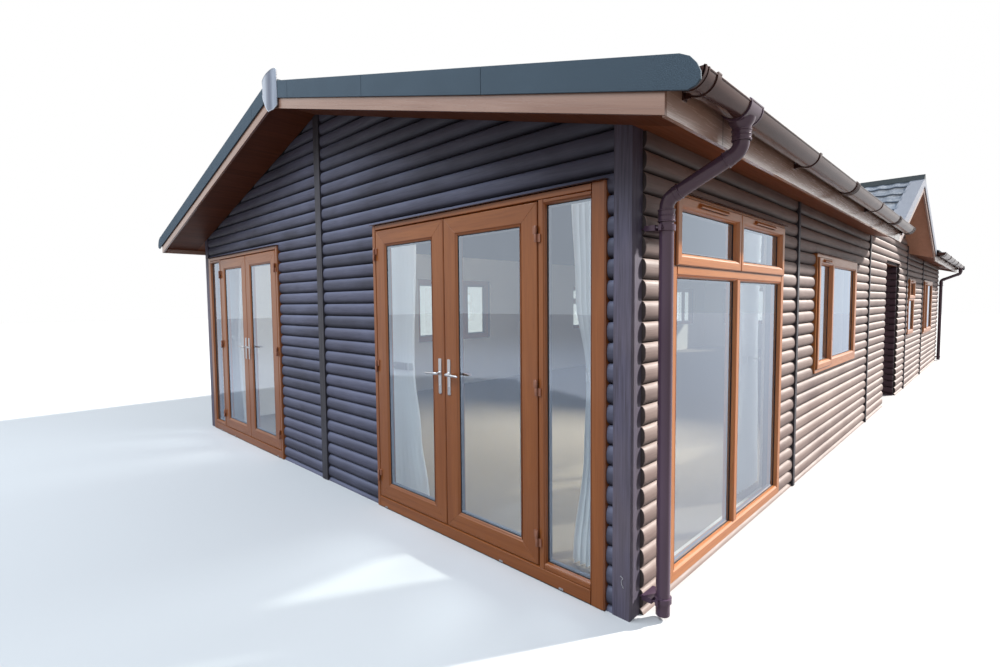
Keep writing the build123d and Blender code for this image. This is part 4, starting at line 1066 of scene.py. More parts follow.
def side_by_side(shape, wall, hole, shares):
    """Narrow opening light beside a fixed one."""
    u0, u1, z0, z1 = hole
    low, high = z0 + WIDE_MEMBER, z1 - WIDE_MEMBER
    first, second = split(u0, u1, shares, WIDE_MEMBER)
    members(shape, wall, hole, (first[0], second[1], low, high), FRAME_PROFILE)
    bar(shape, wall, (first[1], second[0]), (low, high), UPRIGHT)
    opening_sash(shape, wall, (*first, low, high), around((*first, low, high), SASH_WIDE))
    vent(shape, wall, (first[0] - 0.03, first[1] + 0.03), high + SASH_WIDE)
    glazing(shape, wall, (*second, low, high), FIXED_UNIT)
    drip(shape, wall, (u0, u1), z1)


def fan_over_fixed(shape, wall, hole):
    """Opening fanlight above one fixed light."""
    u0, u1, z0, z1 = hole
    fan = (z1 - z0) * 0.3
    sides = (u0 + MEMBER, u1 - MEMBER)
    low, high = z1 - fan - MEMBER - SASH_WIDE / 2, z1 - MEMBER - SASH_OUT
    members(shape, wall, hole, (*sides, z0 + MEMBER, high), FRAME_PROFILE)
    bar(shape, wall, sides, (low, z1 - fan), LEVEL)
    glazing(shape, wall, (*sides, z0 + MEMBER, low), FIXED_UNIT)
    opening_sash(shape, wall, (*sides, z1 - fan, high), around((*sides, z1 - fan, high), SASH_WIDE))
    vent(shape, wall, sides, high + SASH_WIDE)
    drip(shape, wall, (u0, u1), z1)


def tall_window(shape, wall, hole):
    """Two fixed lights below two fanlights."""
    u0, u1, z0, z1 = hole
    sides = (u0 + MEMBER, u1 - MEMBER)
    fixed = split(u0, u1, (1, 1), MEMBER)
    fans = split(u0, u1, (1, 1), MEMBER + SASH_WIDE / 2)
    transom, fan_low, fan_high = 1.69, 1.803, z1 - MEMBER - SASH_OUT
    middle = (u0 + u1) / 2
    members(shape, wall, hole, (*sides, z0 + MEMBER, fan_high), FRAME_PROFILE)
    bar(shape, wall, sides, (transom, fan_low), LEVEL)
    bar(shape, wall, (fixed[0][1], fixed[1][0]), (z0 + MEMBER, transom), UPRIGHT)
    bar(shape, wall, (fans[0][1] + 0.02, fans[1][0] - 0.02), (fan_low, fan_high), UPRIGHT)
    for light in fixed:
        glazing(shape, wall, (*light, z0 + MEMBER, transom), FIXED_UNIT)
    for number, fan in enumerate(fans):
        edges = list(around((*fan, fan_low, fan_high), SASH_WIDE))
        edges[1 - number] = middle + (number - 0.5) * SASH_GAP
        opening_sash(shape, wall, (*fan, fan_low, fan_high), edges)
        vent(shape, wall, fan, edges[3])
    drip(shape, wall, (u0, u1), z1)


def joinery(name, shape, replaced, along, upright=OAK, body="chalet"):
    finishes = [upright, along, RUBBER, SPACER_BAR, RAINWATER, STEEL]
    shape.piece(name, finishes, "oak_upvc", body=body, bevel=0.0012, replaces=(replaced,))


tall = Shape()
tall_window(tall, SIDE_PLANE, TALL)
joinery("tall_window_joinery", tall, "tall_window_frame", SUNNY_OAK_ALONG, SUNNY_OAK)
right_windows = Shape()
side_by_side(right_windows, SIDE_PLANE, LOUNGE, (3, 7))
fan_over_fixed(right_windows, SIDE_PLANE, BATH)
side_by_side(right_windows, SIDE_PLANE, BED, (3, 7))
joinery("right_window_joinery", right_windows, "right_window_frames", SUNNY_OAK_ALONG, SUNNY_OAK)
left_windows = Shape()
for hole in LEFT_BATHS:
    fan_over_fixed(left_windows, LEFT_PLANE, hole)
for hole in LEFT_BEDS:
    side_by_side(left_windows, LEFT_PLANE, hole, (3, 7))
joinery("left_window_joinery", left_windows, "left_window_frames", OAK_ALONG)
rear_windows = Shape()
for hole in REAR_HOLES:
    side_by_side(rear_windows, REAR_PLANE, hole, (1, 1))
joinery("rear_window_joinery", rear_windows, "rear_window_frames", OAK_LEVEL)


# Glazed door sets: frame with its sidelight, then the four leaves
SET_WIDE = SET_END - SET_START
SET_FOOT = 0.004
SET_JAMB = 0.038
SIDELIGHT = (SET_WIDE - 0.384, SET_WIDE - 0.082)
SIDELIGHT_LOW, SIDELIGHT_HIGH = SET_SILL + 0.068, SET_TOP - 0.06
DOORWAY = (SET_JAMB, SET_WIDE - 0.425)
DOOR_STOP, STOP_OUT = 0.016, -0.062
PANE_BITE = 0.008
DRAINS = (0.12, 1.33, 1.78)
CILL_DEPTHS = (-0.147, -0.0702)
PACKER_DEPTHS = (-0.07, -0.004)
LEAF_LOW, LEAF_HIGH = 0.089, 2.101
LEAF_DEEP = 0.056
LEAF_BEVEL = 0.005
LEAF_GLASS = -0.012
LEAF_UNIT = unit_profiles(LEAF_GLASS, 0.0, -0.004)
LEAF_PROFILE = outer((0, -LEAF_DEEP), (0, -0.005), (0.005, 0))
LEAF_PROFILE += inner((0.011, 0), (0, -0.008), (0, -LEAF_DEEP))
STOP_PROFILE = outer((0, STOP_OUT)) + inner((0, STOP_OUT), (0, -FRAME_DEEP)) + outer((0, -FRAME_DEEP))


def door_set(name, side, replaced):
    """Frame of one set; side is 1 for the right set and -1 for its mirror image."""
    shape = Shape()

    def span(a, b, by=0.0):
        ends = sorted((side * (SET_START + a), side * (SET_START + b)))
        return ends[0] - by, ends[1] + by

    low, high = SET_SILL + SET_JAMB, SET_TOP - SET_JAMB
    for a, b, foot, head, paint, chamfer in (
        (0, SET_JAMB, SET_FOOT, SET_TOP, UPRIGHT, 0.004),
        (DOORWAY[1], SIDELIGHT[0], low, high, UPRIGHT, 0.006),
        (SIDELIGHT[1], SET_WIDE, SET_FOOT, SET_TOP, UPRIGHT, 0.006),
        (SET_JAMB, SIDELIGHT[1], high, SET_TOP, LEVEL, 0.004),
        (SET_JAMB, SIDELIGHT[1], SET_FOOT, low, LEVEL, 0.004),
        (*SIDELIGHT, low, SIDELIGHT_LOW, LEVEL, 0.004),
        (*SIDELIGHT, SIDELIGHT_HIGH, high, LEVEL, 0.004),
    ):
        bar(shape, SET_PLANE, span(a, b), (foot, head), paint, chamfer)
    doorway = (*span(*DOORWAY), low, high)
    members(shape, SET_PLANE, doorway, around(doorway, -DOOR_STOP), STOP_PROFILE)
    glazing(shape, SET_PLANE, (*span(*SIDELIGHT), SIDELIGHT_LOW, SIDELIGHT_HIGH), FIXED_UNIT)
    pane_heights = (SIDELIGHT_LOW - PANE_BITE, SIDELIGHT_HIGH + PANE_BITE)
    panes.box(SET_PLANE, span(*SIDELIGHT, PANE_BITE), PANE_DEPTHS, pane_heights)
    for place in DRAINS:
        heights = (SET_FOOT + 0.006, SET_FOOT + 0.016)
        shape.box(SET_PLANE, span(place, place, 0.014), (0.0, 0.004), heights, METAL)
    whole = span(0, SET_WIDE)
    shape.box(SET_PLANE, whole, CILL_DEPTHS, (0.0, SET_SILL), DARK)
    shape.box(SET_PLANE, whole, PACKER_DEPTHS, (0.0, SET_FOOT), SEAL)
    drip(shape, SET_PLANE, whole, SET_TOP)
    joinery(name, shape, replaced, OAK_LEVEL)


panes = Shape()
pane_depths = [-SET_FACE - v.co.y for v in frame["nodes"]["sidelight_glass"].data.vertices]
PANE_DEPTHS = (min(pane_depths), max(pane_depths))
door_set("right_door_joinery", 1, "right_door_frame")
door_set("left_door_joinery", -1, "left_door_frame")
panes.piece("sidelight_panes", GLAZING, "clear_glass", replaces=("sidelight_glass",))

PIN_IN = 0.003
LEAF_WIDE = (DOORWAY[1] - DOORWAY[0] - 6 * PIN_IN) / 2
INNER_PIN = SET_START + DOORWAY[0] + PIN_IN
OUTER_PIN = SET_START + DOORWAY[1] - PIN_IN
DOORS = {
    "door_1": (-OUTER_PIN, 1),
    "door_2": (-INNER_PIN, -1),
    "door_3": (INNER_PIN, 1),
    "door_4": (OUTER_PIN, -1),
}
STILE, BOTTOM_RAIL, TOP_RAIL = 0.122, 0.108, 0.112
HINGE_HEIGHTS = (0.248, 1.092, 1.927)
HINGE_TALL = 0.0438
HINGE_GAP = 0.0006
HINGE_FLAG, HINGE_SCREW = 0.026, 0.018
PIN_OUT = 0.015
HANDLE_HEIGHT = 1.1
HANDLE_IN = 0.042
PLATE_HALF, PLATE_TALL, PLATE_CORNER = 0.014, 0.1175, 0.007
LEVER_STEPS = 14
LEVER_REACH = 0.118


def leaf(name, pin_x, way):
    """Mitred sash and sealed unit of one leaf; way points from the hinge to the free edge."""
    shape = Shape()
    hinge_edge = pin_x + way * PIN_IN
    free_edge = hinge_edge + way * LEAF_WIDE
    sides = sorted((hinge_edge, free_edge))
    light = (sides[0] + STILE, sides[1] - STILE, LEAF_LOW + BOTTOM_RAIL, LEAF_HIGH - TOP_RAIL)
    ease = (free_edge, -way * LEAF_BEVEL)
    members(shape, SET_PLANE, (*sides, LEAF_LOW, LEAF_HIGH), light, LEAF_PROFILE, ease=ease)
    glazing(shape, SET_PLANE, light, LEAF_UNIT)
    joinery(f"{name}_joinery", shape, f"{name}_sash", OAK_LEVEL, body=name)


def hinge_half(shape, pin_x, way, height, up, paint):
    """Knuckle, flag and screws above or below the hinge's middle; way points to the flag."""
    start = height + up * HINGE_GAP
    knuckle = [SET_PLANE.at(pin_x, PIN_OUT, start + up * z) for z in (0, 0.002, 0.041, HINGE_TALL)]
    radii = [0.0068, 0.0078, 0.0078, 0.006]
    shape.tube(knuckle[::up], radii[::up], 20, paint, side_hint=(1, 0, 0))
    flag = sorted((pin_x + way * 0.002, pin_x + way * HINGE_FLAG))
    heights = sorted((start + up * 0.0002, start + up * (HINGE_TALL - 0.0002)))
    shape.box(SET_PLANE, flag, (0.0002, 0.008), heights, paint)
    for screw in (0.011, 0.033):
        place = pin_x + way * HINGE_SCREW
        shape.rod(SET_PLANE, place, start + up * screw, (0.007, 0.0087), [0.003, 0.0024], paint=paint)


def back_plate(handle, face, out):
    """Rings of a lever's plate with round corners and eased edges."""
    rings = []
    for depth, inset in ((0.0002, 0.0), (0.005, 0.0), (0.0075, 0.0015), (0.008, 0.004)):
        ring = []
        for turn in range(24):
            angle = 2 * pi * (turn + 0.5) / 24
            u = copysign(PLATE_HALF - PLATE_CORNER, cos(angle)) + (PLATE_CORNER - inset) * cos(angle)
            z = copysign(PLATE_TALL - PLATE_CORNER, sin(angle)) + (PLATE_CORNER - inset) * sin(angle)
            ring.append(SET_PLANE.at(handle + u, face + out * depth, HANDLE_HEIGHT - 0.02 + z))
        rings.append(ring)
    return rings


def lever_path(handle, way, face, out):
    """Places and radii along a lever that bends off its neck and droops a little."""
    path, radii = [], []
    for step in range(LEVER_STEPS + 1):
        share = step / LEVER_STEPS
        reach = way * LEVER_REACH * max(0.0, share - 0.05) / 0.95
        depth = 0.028 + 0.0115 * sin(min(1.0, share / 0.16) * pi / 2)
        path.append(SET_PLANE.at(handle - reach, face + out * depth, HANDLE_HEIGHT - 0.004 * share ** 2))
        radii.append(0.0085 - 0.002 * share)
    radii[-1] = 0.004
    return path, radii


def lever_set(shape, handle, way, face, out):
    """Plate, neck, lever, key cylinder and screws on one face of a leaf."""
    def standing(z, depths, radii, sides=20):
        shape.rod(SET_PLANE, handle, HANDLE_HEIGHT + z, [face + out * d for d in depths], radii, sides)

    shape.loft(back_plate(handle, face, out))
    standing(0, (0.006, 0.012, 0.014, 0.03), [0.013, 0.013, 0.0095, 0.0085])
    shape.tube(*lever_path(handle, way, face, out), flat=1.15)
    standing(-0.083, (0.006, 0.0105, 0.011), [0.0085, 0.0085, 0.007])
    slot = sorted((face + out * 0.0108, face + out * 0.0113))
    heights = (HANDLE_HEIGHT - 0.087, HANDLE_HEIGHT - 0.079)
    shape.box(SET_PLANE, (handle - 0.0007, handle + 0.0007), slot, heights, 2)
    for z in (0.08, -0.122):
        standing(z, (0.007, 0.0089), [0.0042, 0.003], 12)


def furniture(name, pin_x, way):
    """Leaf halves of the hinges, and lever handles on both faces."""
    shape = Shape()
    for height in HINGE_HEIGHTS:
        hinge_half(shape, pin_x, way, height, 1, 1)
    handle = pin_x + way * (PIN_IN + LEAF_WIDE - HANDLE_IN)
    lever_set(shape, handle, way, 0.0, 1)
    lever_set(shape, handle, way, -LEAF_DEEP, -1)
    finishes = [STEEL, HINGE_BROWN, RUBBER]
    replaced = (f"{name}_hardware",)
    shape.piece(f"{name}_furniture", finishes, "steel_fittings", body=name, smooth=35, replaces=replaced)


frame_hinges = Shape()
for name, (pin_x, way) in DOORS.items():
    leaf(name, pin_x, way)
    furniture(name, pin_x, way)
    for height in HINGE_HEIGHTS:
        hinge_half(frame_hinges, pin_x, -way, height, -1, 0)
finishes = [HINGE_BROWN, STEEL]
frame_hinges.piece("frame_hinge_flags", finishes, "steel_fittings", smooth=35, replaces=("hinge_flags",))


# Rainwater goods: half-round gutters in lengths, straps, unions, outlets and downpipes
GUTTER_OUTER, GUTTER_INNER = 0.0598, 0.0566
COLLAR_INNER = 0.0601
RIB_OUTER = 0.0663
FRONT_OUTLET, FRONT_PIPE = -7.455, -7.48
REAR_OUTLET, REAR_PIPE = 7.68, 7.44
GUTTER_END = 7.98
GUTTER_BREAK = 2.13
UNION_GAP = 0.003
BRACKET_PITCH = 2.1
FIRST_UNION, FIRST_BRACKET, END_BRACKET = 5.355, 6.405, 7.855
FRONT_UNIONS = [-FIRST_UNION + BRACKET_PITCH * number for number in range(2)]
REAR_UNIONS = [5.58 - BRACKET_PITCH * number for number in range(2)]
LEFT_UNIONS = [-FIRST_UNION + BRACKET_PITCH * number for number in range(6)]
FRONT_BRACKETS = [-FIRST_BRACKET + BRACKET_PITCH * number for number in range(3)]
REAR_BRACKETS = [6.63 - BRACKET_PITCH * number for number in range(3)]
LEFT_BRACKETS = [-FIRST_BRACKET + BRACKET_PITCH * number for number in range(7)]
PIPE_X, FRONT_PIPE_X, PIPE_RADIUS = 3.125, 3.15, 0.034
PIPE_TURN, PIPE_FOOT, PIPE_BEND = 2.035, 0.022, 0.062
CLIP_HEIGHTS = (1.903, 0.099)


def arc_points(radius, start=pi, end=2 * pi, steps=18):
    angles = [start + (end - start) * step / steps for step in range(steps + 1)]
    return [(GUTTER_X + radius * cos(a), GUTTER_RIM + radius * sin(a)) for a in angles]


def trough(shape, wall, near, far, outside, inside, **arc):
    """Half-round channel between two places along a wall."""
    outline = arc_points(outside, **arc) + arc_points(inside, **arc)[::-1]
    shape.extrude(wall, outline, (near, far))


def gutter_length(shape, wall, near, far):
    """One length with a rolled bead along its outer rim."""
    trough(shape, wall, near, far, GUTTER_OUTER, GUTTER_INNER)
    for offset, radius in ((0.0592, 0.0042), (-0.0585, 0.0028)):
        line = [wall.at(y, GUTTER_X + offset, GUTTER_RIM - 0.0015) for y in (near, far)]
        shape.tube(line, radius, 10)


def strap(shape, wall, y, width, outside=0.0645):
    """Collar under and round the trough, with a clip over the outer rim."""
    near, far = y - width / 2, y + width / 2
    trough(shape, wall, near, far, outside, COLLAR_INNER, start=pi - 0.04, end=2 * pi + 0.06)
    clip = ((0.05, 0.002), (0.0655, 0.002), (0.0655, 0.0075), (0.05, 0.0065))
    shape.extrude(wall, [(GUTTER_X + out, GUTTER_RIM + up) for out, up in clip], (near, far))


def fascia_bracket(shape, wall, y, width=0.034):
    """Strap with its web and the plate screwed to the fascia."""
    strap(shape, wall, y, width)
    plate = (y - width / 2, y + width / 2)
    shape.box(wall, plate, (FASCIA_X + 0.0002, FASCIA_X + 0.006), (2.318, GUTTER_RIM + 0.004))
    shape.box(wall, (y - 0.003, y + 0.003), (FASCIA_X + 0.004, GUTTER_X - 0.045), (2.322, 2.346))
    shape.box(wall, plate, (FASCIA_X + 0.004, GUTTER_X - 0.058), (2.352, 2.372))
    for z in (2.328, 2.348):
        shape.rod(wall, y + 0.009, z, (FASCIA_X + 0.005, FASCIA_X + 0.0082), [0.004, 0.0032], 10)


def ribbed(shape, wall, y, width, ribs):
    """Fitting that laps the trough, with raised ribs at the given distances from its middle."""
    strap(shape, wall, y, width, 0.0635)
    for place in [y + offset for offset in ribs]:
        trough(shape, wall, place - 0.004, place + 0.004, RIB_OUTER, 0.0625)
        hook = ((0.062, -0.006), (0.061, 0.006), (0.055, 0.013))
        path = [wall.at(place, GUTTER_X + out, GUTTER_RIM + up) for out, up in hook]
        shape.tube(path, [0.0042, 0.004, 0.003], 10)


def rounded_path(points, radius, steps=9):
    """Line through points with each corner turned on an arc."""
    path = [points[0]]
    for a, b, c in zip(points, points[1:], points[2:]):
        first = (a - b).normalized()
        last = (c - b).normalized()
        half = first.angle(last) / 2
        centre = b + (first + last).normalized() * radius / sin(half)
        start = (b + first * radius / tan(half) - centre).normalized()
        end = (b + last * radius / tan(half) - centre).normalized()
        path += [centre + start.slerp(end, step / steps) * radius for step in range(steps + 1)]
    path.append(points[-1])
    return path


def socket(shape, start, end, radius, rings):
    """Sleeve round a pipe, with raised rings of a width at shares of its length."""
    way = (end - start).normalized()
    long = (end - start).length
    sleeve = [start, start + way * 0.002, end - way * 0.002, end]
    shape.tube(sleeve, [radius - 0.0015, radius, radius, radius - 0.0015], 32)
    for share, width in rings:
        low = start + way * (share * (long - width))
        ring = [low + way * along for along in (0, 0.002, width - 0.002, width)]
        shape.tube(ring, [radius, radius + 0.0028, radius + 0.0028, radius], 32)


def pipe_clip(shape, wall, x, y, z):
    """Band round the pipe with two screwed ears and the block that holds it off the wall."""
    low, high = z - 0.015, z + 0.015
    band = [wall.at(y, x, height) for height in (low, low + 0.002, high - 0.002, high)]
    shape.tube(band, [0.039, 0.042, 0.042, 0.039], 32)
    for end in (-1, 1):
        ear = sorted((y + end * 0.03, y + end * 0.058))
        shape.box(wall, ear, (x - 0.012, x + 0.002), (low + 0.001, high - 0.001))
        shape.rod(wall, y + end * 0.048, z, (SIDE_FACE, x + 0.006), 0.0045, 10)
    shape.box(wall, (y - 0.058, y + 0.058), (SIDE_FACE + 0.028, x - 0.03), (low + 0.002, high - 0.002))


def downpipe(shape, wall, outlet, y, x=PIPE_X):
    """Outlet, swan neck, pipe and clips down one corner."""
    def below(z):
        return wall.at(outlet, GUTTER_X, z)

    ribbed(shape, wall, outlet, 0.15, (-0.068, 0.068))
    funnel = [below(z) for z in (2.33, 2.315, 2.303, 2.295, 2.28)]
    shape.tube(funnel, [0.056, 0.051, 0.043, 0.0385, 0.0375], 32)
    socket(shape, below(2.288), below(2.238), 0.0388, ((0.0, 0.01), (0.5, 0.006), (1.0, 0.01)))
    bend, turn = below(2.2), wall.at(y, x, PIPE_TURN)
    path = rounded_path([below(2.3147), bend, turn, wall.at(y, x, PIPE_FOOT)], PIPE_BEND)
    shape.tube(path, PIPE_RADIUS, 32, side_hint=(0.3, 1, 0))
    slant = (turn - bend).normalized()
    for corner, way in ((bend, 1), (turn, -1)):
        start = corner + slant * way * 0.042
        socket(shape, start, start + slant * way * 0.03, 0.0366, ((1.0, 0.008),))
    rings = ((0.0, 0.009), (0.5, 0.006), (1.0, 0.009))
    socket(shape, wall.at(y, x, 1.99), wall.at(y, x, 1.93), 0.0385, rings)
    for z in CLIP_HEIGHTS:
        pipe_clip(shape, wall, x, y, z)


def stop_end(shape, wall, y, way):
    """Cap on the end of a run, with rings that lap the trough."""
    shape.extrude(wall, arc_points(0.0628), (y, y - way * 0.003))
    for near, far, outside in ((0, 0.03, 0.0634), (0.026, 0.034, RIB_OUTER), (0, 0.006, RIB_OUTER)):
        trough(shape, wall, *sorted((y - way * near, y - way * far)), outside, COLLAR_INNER)


def run(shape, wall, start, end, unions):
    """Gutter run between two places, in lengths that meet inside the unions."""
    stops = [start] + sorted(unions) + [end]
    for near, far in zip(stops, stops[1:]):
        near_gap = UNION_GAP if near in unions else 0.0
        far_gap = UNION_GAP if far in unions else 0.0
        gutter_length(shape, wall, near + near_gap, far - far_gap)
    for y in unions:
        ribbed(shape, wall, y, 0.09, (-0.04, -0.012, 0.012, 0.04))
    stop_end(shape, wall, start, -1)
    stop_end(shape, wall, end, 1)


def rainwater(name, shape, replaced, finish=RAINWATER):
    shape.piece(name, finish, "brown_rainwater", smooth=35, replaces=(replaced,))


right_runs = Shape()
run(right_runs, OUT_RIGHT, -GUTTER_END, -GUTTER_BREAK, FRONT_UNIONS)
run(right_runs, OUT_RIGHT, GUTTER_BREAK, GUTTER_END, REAR_UNIONS)
rainwater("right_gutter_runs", right_runs, "right_gutters")
left_run = Shape()
run(left_run, OUT_LEFT, -GUTTER_END, GUTTER_END, LEFT_UNIONS)
rainwater("left_gutter_run", left_run, "left_gutter")
straps = Shape()
for y in (*FRONT_BRACKETS, *REAR_BRACKETS, -END_BRACKET, END_BRACKET):
    fascia_bracket(straps, OUT_RIGHT, y)
for y in (*LEFT_BRACKETS, -END_BRACKET, END_BRACKET):
    fascia_bracket(straps, OUT_LEFT, y)
rainwater("gutter_straps", straps, "gutter_brackets")
front_pipe, rear_pipe, left_pipes = Shape(), Shape(), Shape()
downpipe(front_pipe, OUT_RIGHT, FRONT_OUTLET, FRONT_PIPE, FRONT_PIPE_X)
downpipe(rear_pipe, OUT_RIGHT, REAR_OUTLET, REAR_PIPE)
downpipe(left_pipes, OUT_LEFT, FRONT_OUTLET, FRONT_PIPE, FRONT_PIPE_X)
downpipe(left_pipes, OUT_LEFT, REAR_OUTLET, REAR_PIPE)
rainwater("front_pipe", front_pipe, "front_downpipe", PIPE_PLASTIC)
rainwater("rear_pipe", rear_pipe, "rear_downpipe", PIPE_PLASTIC)
rainwater("left_pipes", left_pipes, "left_downpipes", PIPE_PLASTIC)


# Verge trims in lapped lengths with a rounded nose
TRIM_TOP, TRIM_LOW = 0.165, 0.0325
TRIM_SEAMS = (0.099, 0.35, 1.39, 2.46)
SEAM, SEAM_HALF, SEAM_INSET = 0.001, 0.02, 0.004
NOSE = [(3.46, 2.4236), (3.498, 2.403), (3.522, 2.374), (3.537, 2.342), (3.538, 2.315), (3.522, 2.297)]
NOSE.append((3.49, 2.2895))


def trim_outline(near, far, low, high):
    """Outline between two distances from the ridge and two heights above the main soffit."""
    start = [(near, main_height(near, low)), (near, main_height(near, high))]
    return start + (NOSE if far is None else [(far, main_height(far, high)), (far, main_height(far, low))])


verge = Shape()
for end in (-1, 1):
    face = Wall((1, 0, 0), (0, end, 0), VERGE_Y)
    for side in (-1, 1):
        half = Wall((side, 0, 0), (0, end, 0), VERGE_Y)
        for near, far in zip(TRIM_SEAMS, (*TRIM_SEAMS[1:], None)):
            far = None if far is None else far - SEAM
            half_outline = trim_outline(near + SEAM, far, TRIM_LOW, TRIM_TOP)
            verge.plate(half, half_outline, (0.0004, 0.012))
        for seam in TRIM_SEAMS[1:]:
            ends = (seam - SEAM_HALF, seam + SEAM_HALF)
            outline = trim_outline(*ends, TRIM_LOW + SEAM_INSET, TRIM_TOP - SEAM_INSET)
            verge.plate(half, outline, (0.0002, 0.006), 1)
verge.piece("verge_strips", [SLATE, RUBBER], "slate_trim", bevel=0.002, replaces=("gable_verge_trims",))


# Bowed shields over both apexes
SHIELD_TOP = ((-0.095, 3.374), (-0.06, 3.382), (0.03, 3.396), (0.12, 3.406), (0.165, 3.4), (0.178, 3.38))
SHIELD_FOOT = (
    (-0.095, 3.262), (-0.08, 3.225), (0.015, 3.12), (0.045, 3.0935), (0.13, 3.0925), (0.178, 3.118),
)
SHIELD_MIDDLE, SHIELD_HALF, SHIELD_BOW, SHIELD_THICK = 0.0415, 0.1365, 0.0158, 0.003
SHIELD_STEPS = 24


def along_line(points, x):
    """Height of a line through points at a place."""
    for (x0, z0), (x1, z1) in zip(points, points[1:]):
        if x <= x1 + 1e-9:
            return z0 + (z1 - z0) * (x - x0) / (x1 - x0)
    return points[-1][1]


shields = Shape()
for end in (-1, 1):
    face = Wall((1, 0, 0), (0, end, 0), VERGE_Y + 0.0125)
    rings = []
    for step in range(SHIELD_STEPS + 1):
        x = SHIELD_MIDDLE + SHIELD_HALF * (2 * step / SHIELD_STEPS - 1)
        back = SHIELD_BOW * (1 - ((x - SHIELD_MIDDLE) / SHIELD_HALF) ** 2)
        front = back + SHIELD_THICK
        top, foot = along_line(SHIELD_TOP, x), along_line(SHIELD_FOOT, x)
        section = ((back, foot), (front, foot + 0.002), (front, top - 0.002), (back, top))
        rings.append([face.at(x, out, z) for out, z in section])
    for number, (near, far) in enumerate(zip(rings, rings[1:])):
        # Tone: a painted shade band right of the middle, and painted shade growing towards the right-hand
        # side
        share = (number + 0.5) / SHIELD_STEPS
        shade_band = max(0.0, 1 - (abs(share - 0.6) / 0.26) ** 2)
        shields.loft([near, far], 0, max(shade_band, 0.45 * share), closed_ends=number in (0, SHIELD_STEPS - 1))
    rim = [(ring[1] + ring[0]) / 2 for ring in rings] + [(ring[2] + ring[3]) / 2 for ring in reversed(rings)]
    shields.tube(rim + [rim[0]], 0.0036, 10, 1)
shields.piece("apex_shields", [FINIAL, FINIAL_RIM], "slate_trim", smooth=50, replaces=("ridge_finials",))


# Soffit boards beside the corner posts, laps over the ridge cap and strips in the gablet's valleys
CORNER_THICK = 0.009
CORNER_START = HALF_WIDTH + 0.0005
CAP_SECTION = ((0.0, 3.3917), (0.125, 3.3222), (0.1275, 3.2985), (0.1275, 3.3236), (0.0, 3.3945))
CAP_PITCH, CAP_LAP = 0.93, 0.018
VALLEY_HALF_X, VALLEY_HALF_Y, VALLEY_THICK = 0.04125, 0.06, 0.003
VALLEY_LIFT = ROOF_DEPTH + 0.016
VALLEY_ENDS = (0.16, 2.06)

soffit_corners = Shape()
fall = main_height(CORNER_START) - main_height(FASCIA_BACK)
start, end = (CORNER_START, SOFFIT_EDGE + fall), (FASCIA_BACK, SOFFIT_EDGE)
outline = [start, end, (end[0], end[1] + CORNER_THICK), (start[0], start[1] + CORNER_THICK)]
for wall in (OUT_RIGHT, OUT_LEFT):
    for span in ((-HALF_LENGTH, -POST_Y), (POST_Y, HALF_LENGTH)):
        soffit_corners.extrude(wall, outline, span)
soffit_corners.piece("soffit_corners", EAVES_SOFFIT, "soffit_timber")

ridge_laps = Shape()
for number in range(-8, 9):
    y = number * CAP_PITCH
    for wall in (OUT_LEFT, OUT_RIGHT):
        ridge_laps.extrude(wall, CAP_SECTION, (y - CAP_LAP, y + CAP_LAP))
ridge_laps.piece("ridge_cap_laps", CAP, "slate_trim")

valleys = Shape()
for side in (-1, 1):
    rings = []
    for y in VALLEY_ENDS:
        x, in_y = valley_x(y), y - VALLEY_HALF_Y
        on_main = (x - VALLEY_HALF_X, y + VALLEY_HALF_Y, main_height(x - VALLEY_HALF_X, VALLEY_LIFT))
        on_gablet = (x + VALLEY_HALF_X, in_y, gablet_height(in_y, VALLEY_LIFT))
        in_valley = (x, y, main_height(x, VALLEY_LIFT))
        low = [Vector((a, side * b, c)) for a, b, c in (on_main, in_valley, on_gablet)]
        rings.append(low + [p + Vector((0, 0, VALLEY_THICK)) for p in reversed(low)])
    valleys.loft(rings)
valleys.piece("valley_strips", CAP, "slate_trim")


# Entrance door: four raised panels, and its lever with a keyhole below
ENTRANCE = RIGHT.moved(ENTRANCE_FACE)
PANEL_COLUMNS, PANEL_ROWS = ((-0.2, 0.06), (0.11, 0.37)), ((0.2, 0.86), (1.04, 1.8))
PANEL_MOULD = outer((0, -0.001), (0, 0.004), (0.012, 0.009), (0.024, 0.003), (0.026, -0.001))
LEVER_U, LEVER_Z, KEYHOLE_Z = -0.265, 1.09, 1.0
entrance = Shape()
for rows in PANEL_ROWS:
    for columns in PANEL_COLUMNS:
        field = (*columns, *rows)
        members(entrance, ENTRANCE, field, field, PANEL_MOULD, (0, 0), 0)
        foot, top = (rectangle(*around(field, -by)) for by in (0.04, 0.065))
        low = [ENTRANCE.at(u, -0.001, z) for u, z in foot]
        entrance.loft([low, [ENTRANCE.at(u, 0.007, z) for u, z in top]])
entrance.box(ENTRANCE, (LEVER_U - 0.015, LEVER_U + 0.015), (0.0002, 0.007), (0.93, 1.17), 1)
entrance.rod(ENTRANCE, LEVER_U, LEVER_Z, (0.005, 0.03, 0.041), [0.0105, 0.009, 0.009], 16, 1)
lever = [ENTRANCE.at(u, 0.037, LEVER_Z) for u in (-0.272, -0.262, -0.2, -0.155)]
entrance.tube(lever, [0.008, 0.0092, 0.0085, 0.0065], 16, 1)
entrance.rod(ENTRANCE, LEVER_U, KEYHOLE_Z, (0.005, 0.0095), [0.0085, 0.0078], 16, 1)
entrance.piece("entrance_door_panels", [OAK, STEEL], "oak_upvc", smooth=35)


